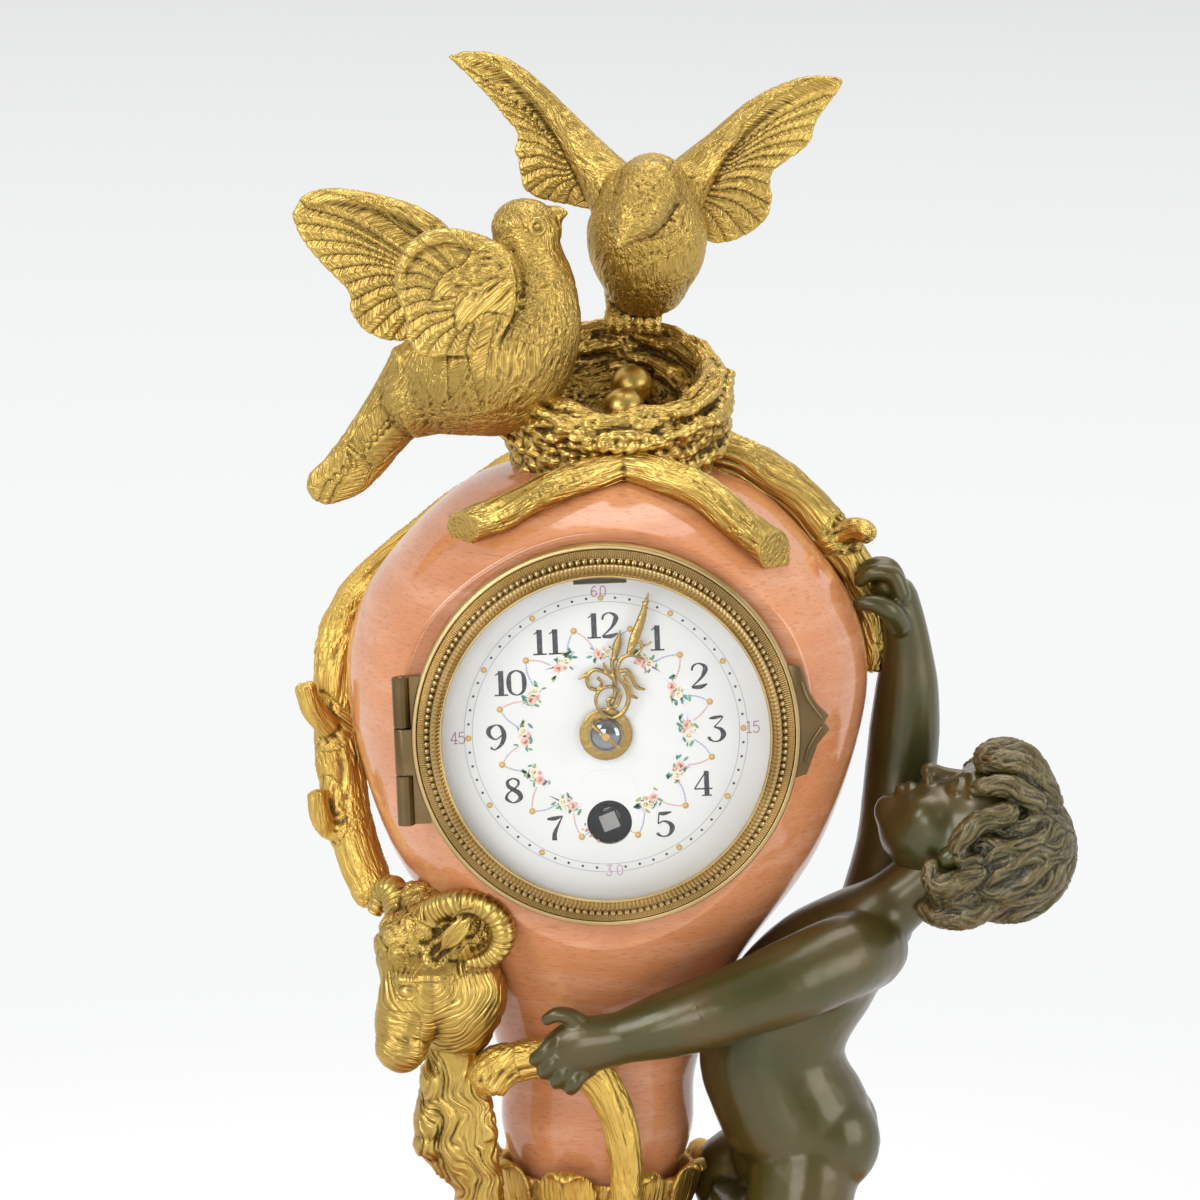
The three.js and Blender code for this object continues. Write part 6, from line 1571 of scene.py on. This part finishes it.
mirror = cast_metal(
    "mirror steel", 0.02, Metal=(0.3, 0.3, 0.31, 1), Dull=(0.26, 0.26, 0.27, 1), Grime_Level=2.0,
    Gloss=0.0,
    Grain=2600,
)
fit("domed_nut", as_mesh(dome), mirror, ["hand_nut"], "centre", clock_frame)
taper = bmesh.new()
limb(taper, [(-2.4, -5.4, 2.2, 0.42), (2.5, -5.5, -2.3, 0.3)], sides=12)
fit("taper_pin", as_mesh(taper), movement_brass, (), "centre", clock_frame)

# Bezel door: a spun brass ring with a turned rim, a finely hatched band, a row of beads and a gadrooned
# edge, which carries the glass. It has a thumb tab at the right and swings on a hinge at the left.
DOOR_BACK = -2.9
DOOR_RADIUS = 38.8
PIN = (-40.6, -2.75)
RING_STEPS = 1024
BEADS = 160
BEAD_RADIUS = 0.6
BEAD_PLACE = (35.65, -7, 0)
HATCHED = (36.15, 37.65)
GADROONED = (33.3, 34.9)
TAB_THICK = 1.4
KNUCKLE_RADIUS = 1.7
door_profile = [
    (DOOR_RADIUS, DOOR_BACK), (DOOR_RADIUS, -4.9), (38.6, -5.3), (38.2, -5.45), (37.9, -5.4),
    (37.8, -5.15), (37.7, -5.4), (37.6, -5.6), (36.9, -5.85), (36.2, -6.1), (36.1, -6.4), (36, -6.15),
    (35.25, -6.4), (35.15, -7.3), (35.05, -8.3), (34.8, -8.8), (34.3, -9.15), (33.8, -9.2), (33.4, -9),
    (33.2, -8.75), (33.1, -9.1), (32.8, -9.1), (32.65, -8.9), (32.65, -8.1), (34.9, -8.1),
    (34.9, DOOR_BACK), (DOOR_RADIUS, DOOR_BACK),
]
ring = spun(door_profile, RING_STEPS, (0, 1, 0))
for vert in ring.verts:
    radius = math.hypot(vert.co.x, vert.co.z)
    step = round(math.atan2(vert.co.z, vert.co.x) / math.tau * RING_STEPS)
    if HATCHED[0] < radius < HATCHED[1] and vert.co.y < -5.55:
        vert.co.y += 0.11 * (-1) ** step
    if GADROONED[0] < radius < GADROONED[1] and vert.co.y < -8.7:
        vert.co.y += 0.22 * (1 - math.cos(step * math.pi / 2))
door = bmesh.new()
add_to(door, ring)
for k in range(BEADS):
    turn = Matrix.Rotation(math.tau * k / BEADS, 4, "Y") @ Matrix.Translation(BEAD_PLACE)
    bmesh.ops.create_uvsphere(door, u_segments=8, v_segments=6, radius=BEAD_RADIUS, matrix=turn)
tab = bmesh.new()
corners = [
    (36.4, 13), (39.2, 12.4), (40.9, 7), (42.4, 4.4), (44.6, 2.2), (43.6, 1), (44.6, -0.6), (42, -3.6),
    (41.5, -5), (39.7, -9.5), (36.4, -10.5),
]
plate = tab.faces.new([tab.verts.new((x, DOOR_BACK - TAB_THICK, z)) for x, z in corners])
back = bmesh.ops.extrude_face_region(tab, geom=[plate])["geom"]
bmesh.ops.translate(tab, verts=verts_in(back), vec=(0, TAB_THICK, 0))
bmesh.ops.recalc_face_normals(tab, faces=tab.faces)
ease(tab, [e for e in tab.edges if e.calc_face_angle(0) > 1], 0.25, 2)
for side in (-1, 1):
    limb(tab, [
        (39.4, DOOR_BACK - 1.4, 1.2 + side * 8, 0.35), (40.4, DOOR_BACK - 1.5, 1 + side * 5, 0.4),
        (43, DOOR_BACK - 1.5, 1 + side, 0.3),
    ], sides=8)
brown_brass = cast_metal(
    "browned brass", 0.25, Metal=(0.2, 0.135, 0.062, 1), Dull=(0.13, 0.09, 0.042, 1),
    Grime=(0.04, 0.03, 0.018, 1), Grime_Level=0.75, Gloss=0.3, Grain=1500,
)
dress("bezel_flange", brown_brass)


def hinge_knuckle(bm, pin, low, high, leaf_to, leaf_y):
    """Adds a hinge knuckle round an upright pin, with the leaf that ties it to its ring."""
    part = bmesh.new()
    form = Matrix.Translation((pin[0], pin[1], (low + high) / 2))
    bmesh.ops.create_cone(
        part, cap_ends=True, segments=24, radius1=KNUCKLE_RADIUS, radius2=KNUCKLE_RADIUS,
        depth=high - low, matrix=form,
    )
    ease(part, [e for e in part.edges if e.calc_face_angle(0) > 1], 0.2, 2)
    leaf = (
        Matrix.Translation(((pin[0] + leaf_to) / 2, sum(leaf_y) / 2, (low + high) / 2))
        @ Matrix.Diagonal((abs(leaf_to - pin[0]), leaf_y[1] - leaf_y[0], high - low - 0.2, 1))
    )
    bmesh.ops.create_cube(part, size=1, matrix=leaf)
    add_to(bm, part)


hinge_knuckle(tab, PIN, -6.7, 2.7, -36.8, (DOOR_BACK - 1.6, DOOR_BACK))
fit("thumb_tab", as_mesh(tab), brown_brass, body="bezel", place=clock_frame)
door_data = as_mesh(door, 32)
# By this value the aged brass darkens the grooves between rims, beads and ribs: grime with painted shade.
mark_recess(door_data, 0.3)
fit("bezel_ring", door_data, old_brass, ["bezel_door"], body="bezel", place=clock_frame)

# Glass: a flat pane held in the door's rebate, clear, with a faint green in its edge. The lamps'
# light passes it without a shadow, as it does through thin glass.
pane, tree, shader = new_material("clear glass")
plug(tree, shader, {
    "Base Color": (0.98, 0.99, 0.985, 1), "Roughness": 0.02, "IOR": 1.45, "Transmission Weight": 1.0,
})
path = node(tree, "LightPath").outputs
unseen = math_node(tree, "MAXIMUM", path["Is Shadow Ray"], path["Is Diffuse Ray"])
clear = node(tree, "MixShader", {
    0: unseen, 1: shader.outputs[0], 2: node(tree, "BsdfTransparent").outputs[0],
})
tree.links.new(clear.outputs[0], tree.nodes["Material Output"].inputs["Surface"])
dress("glass", pane)
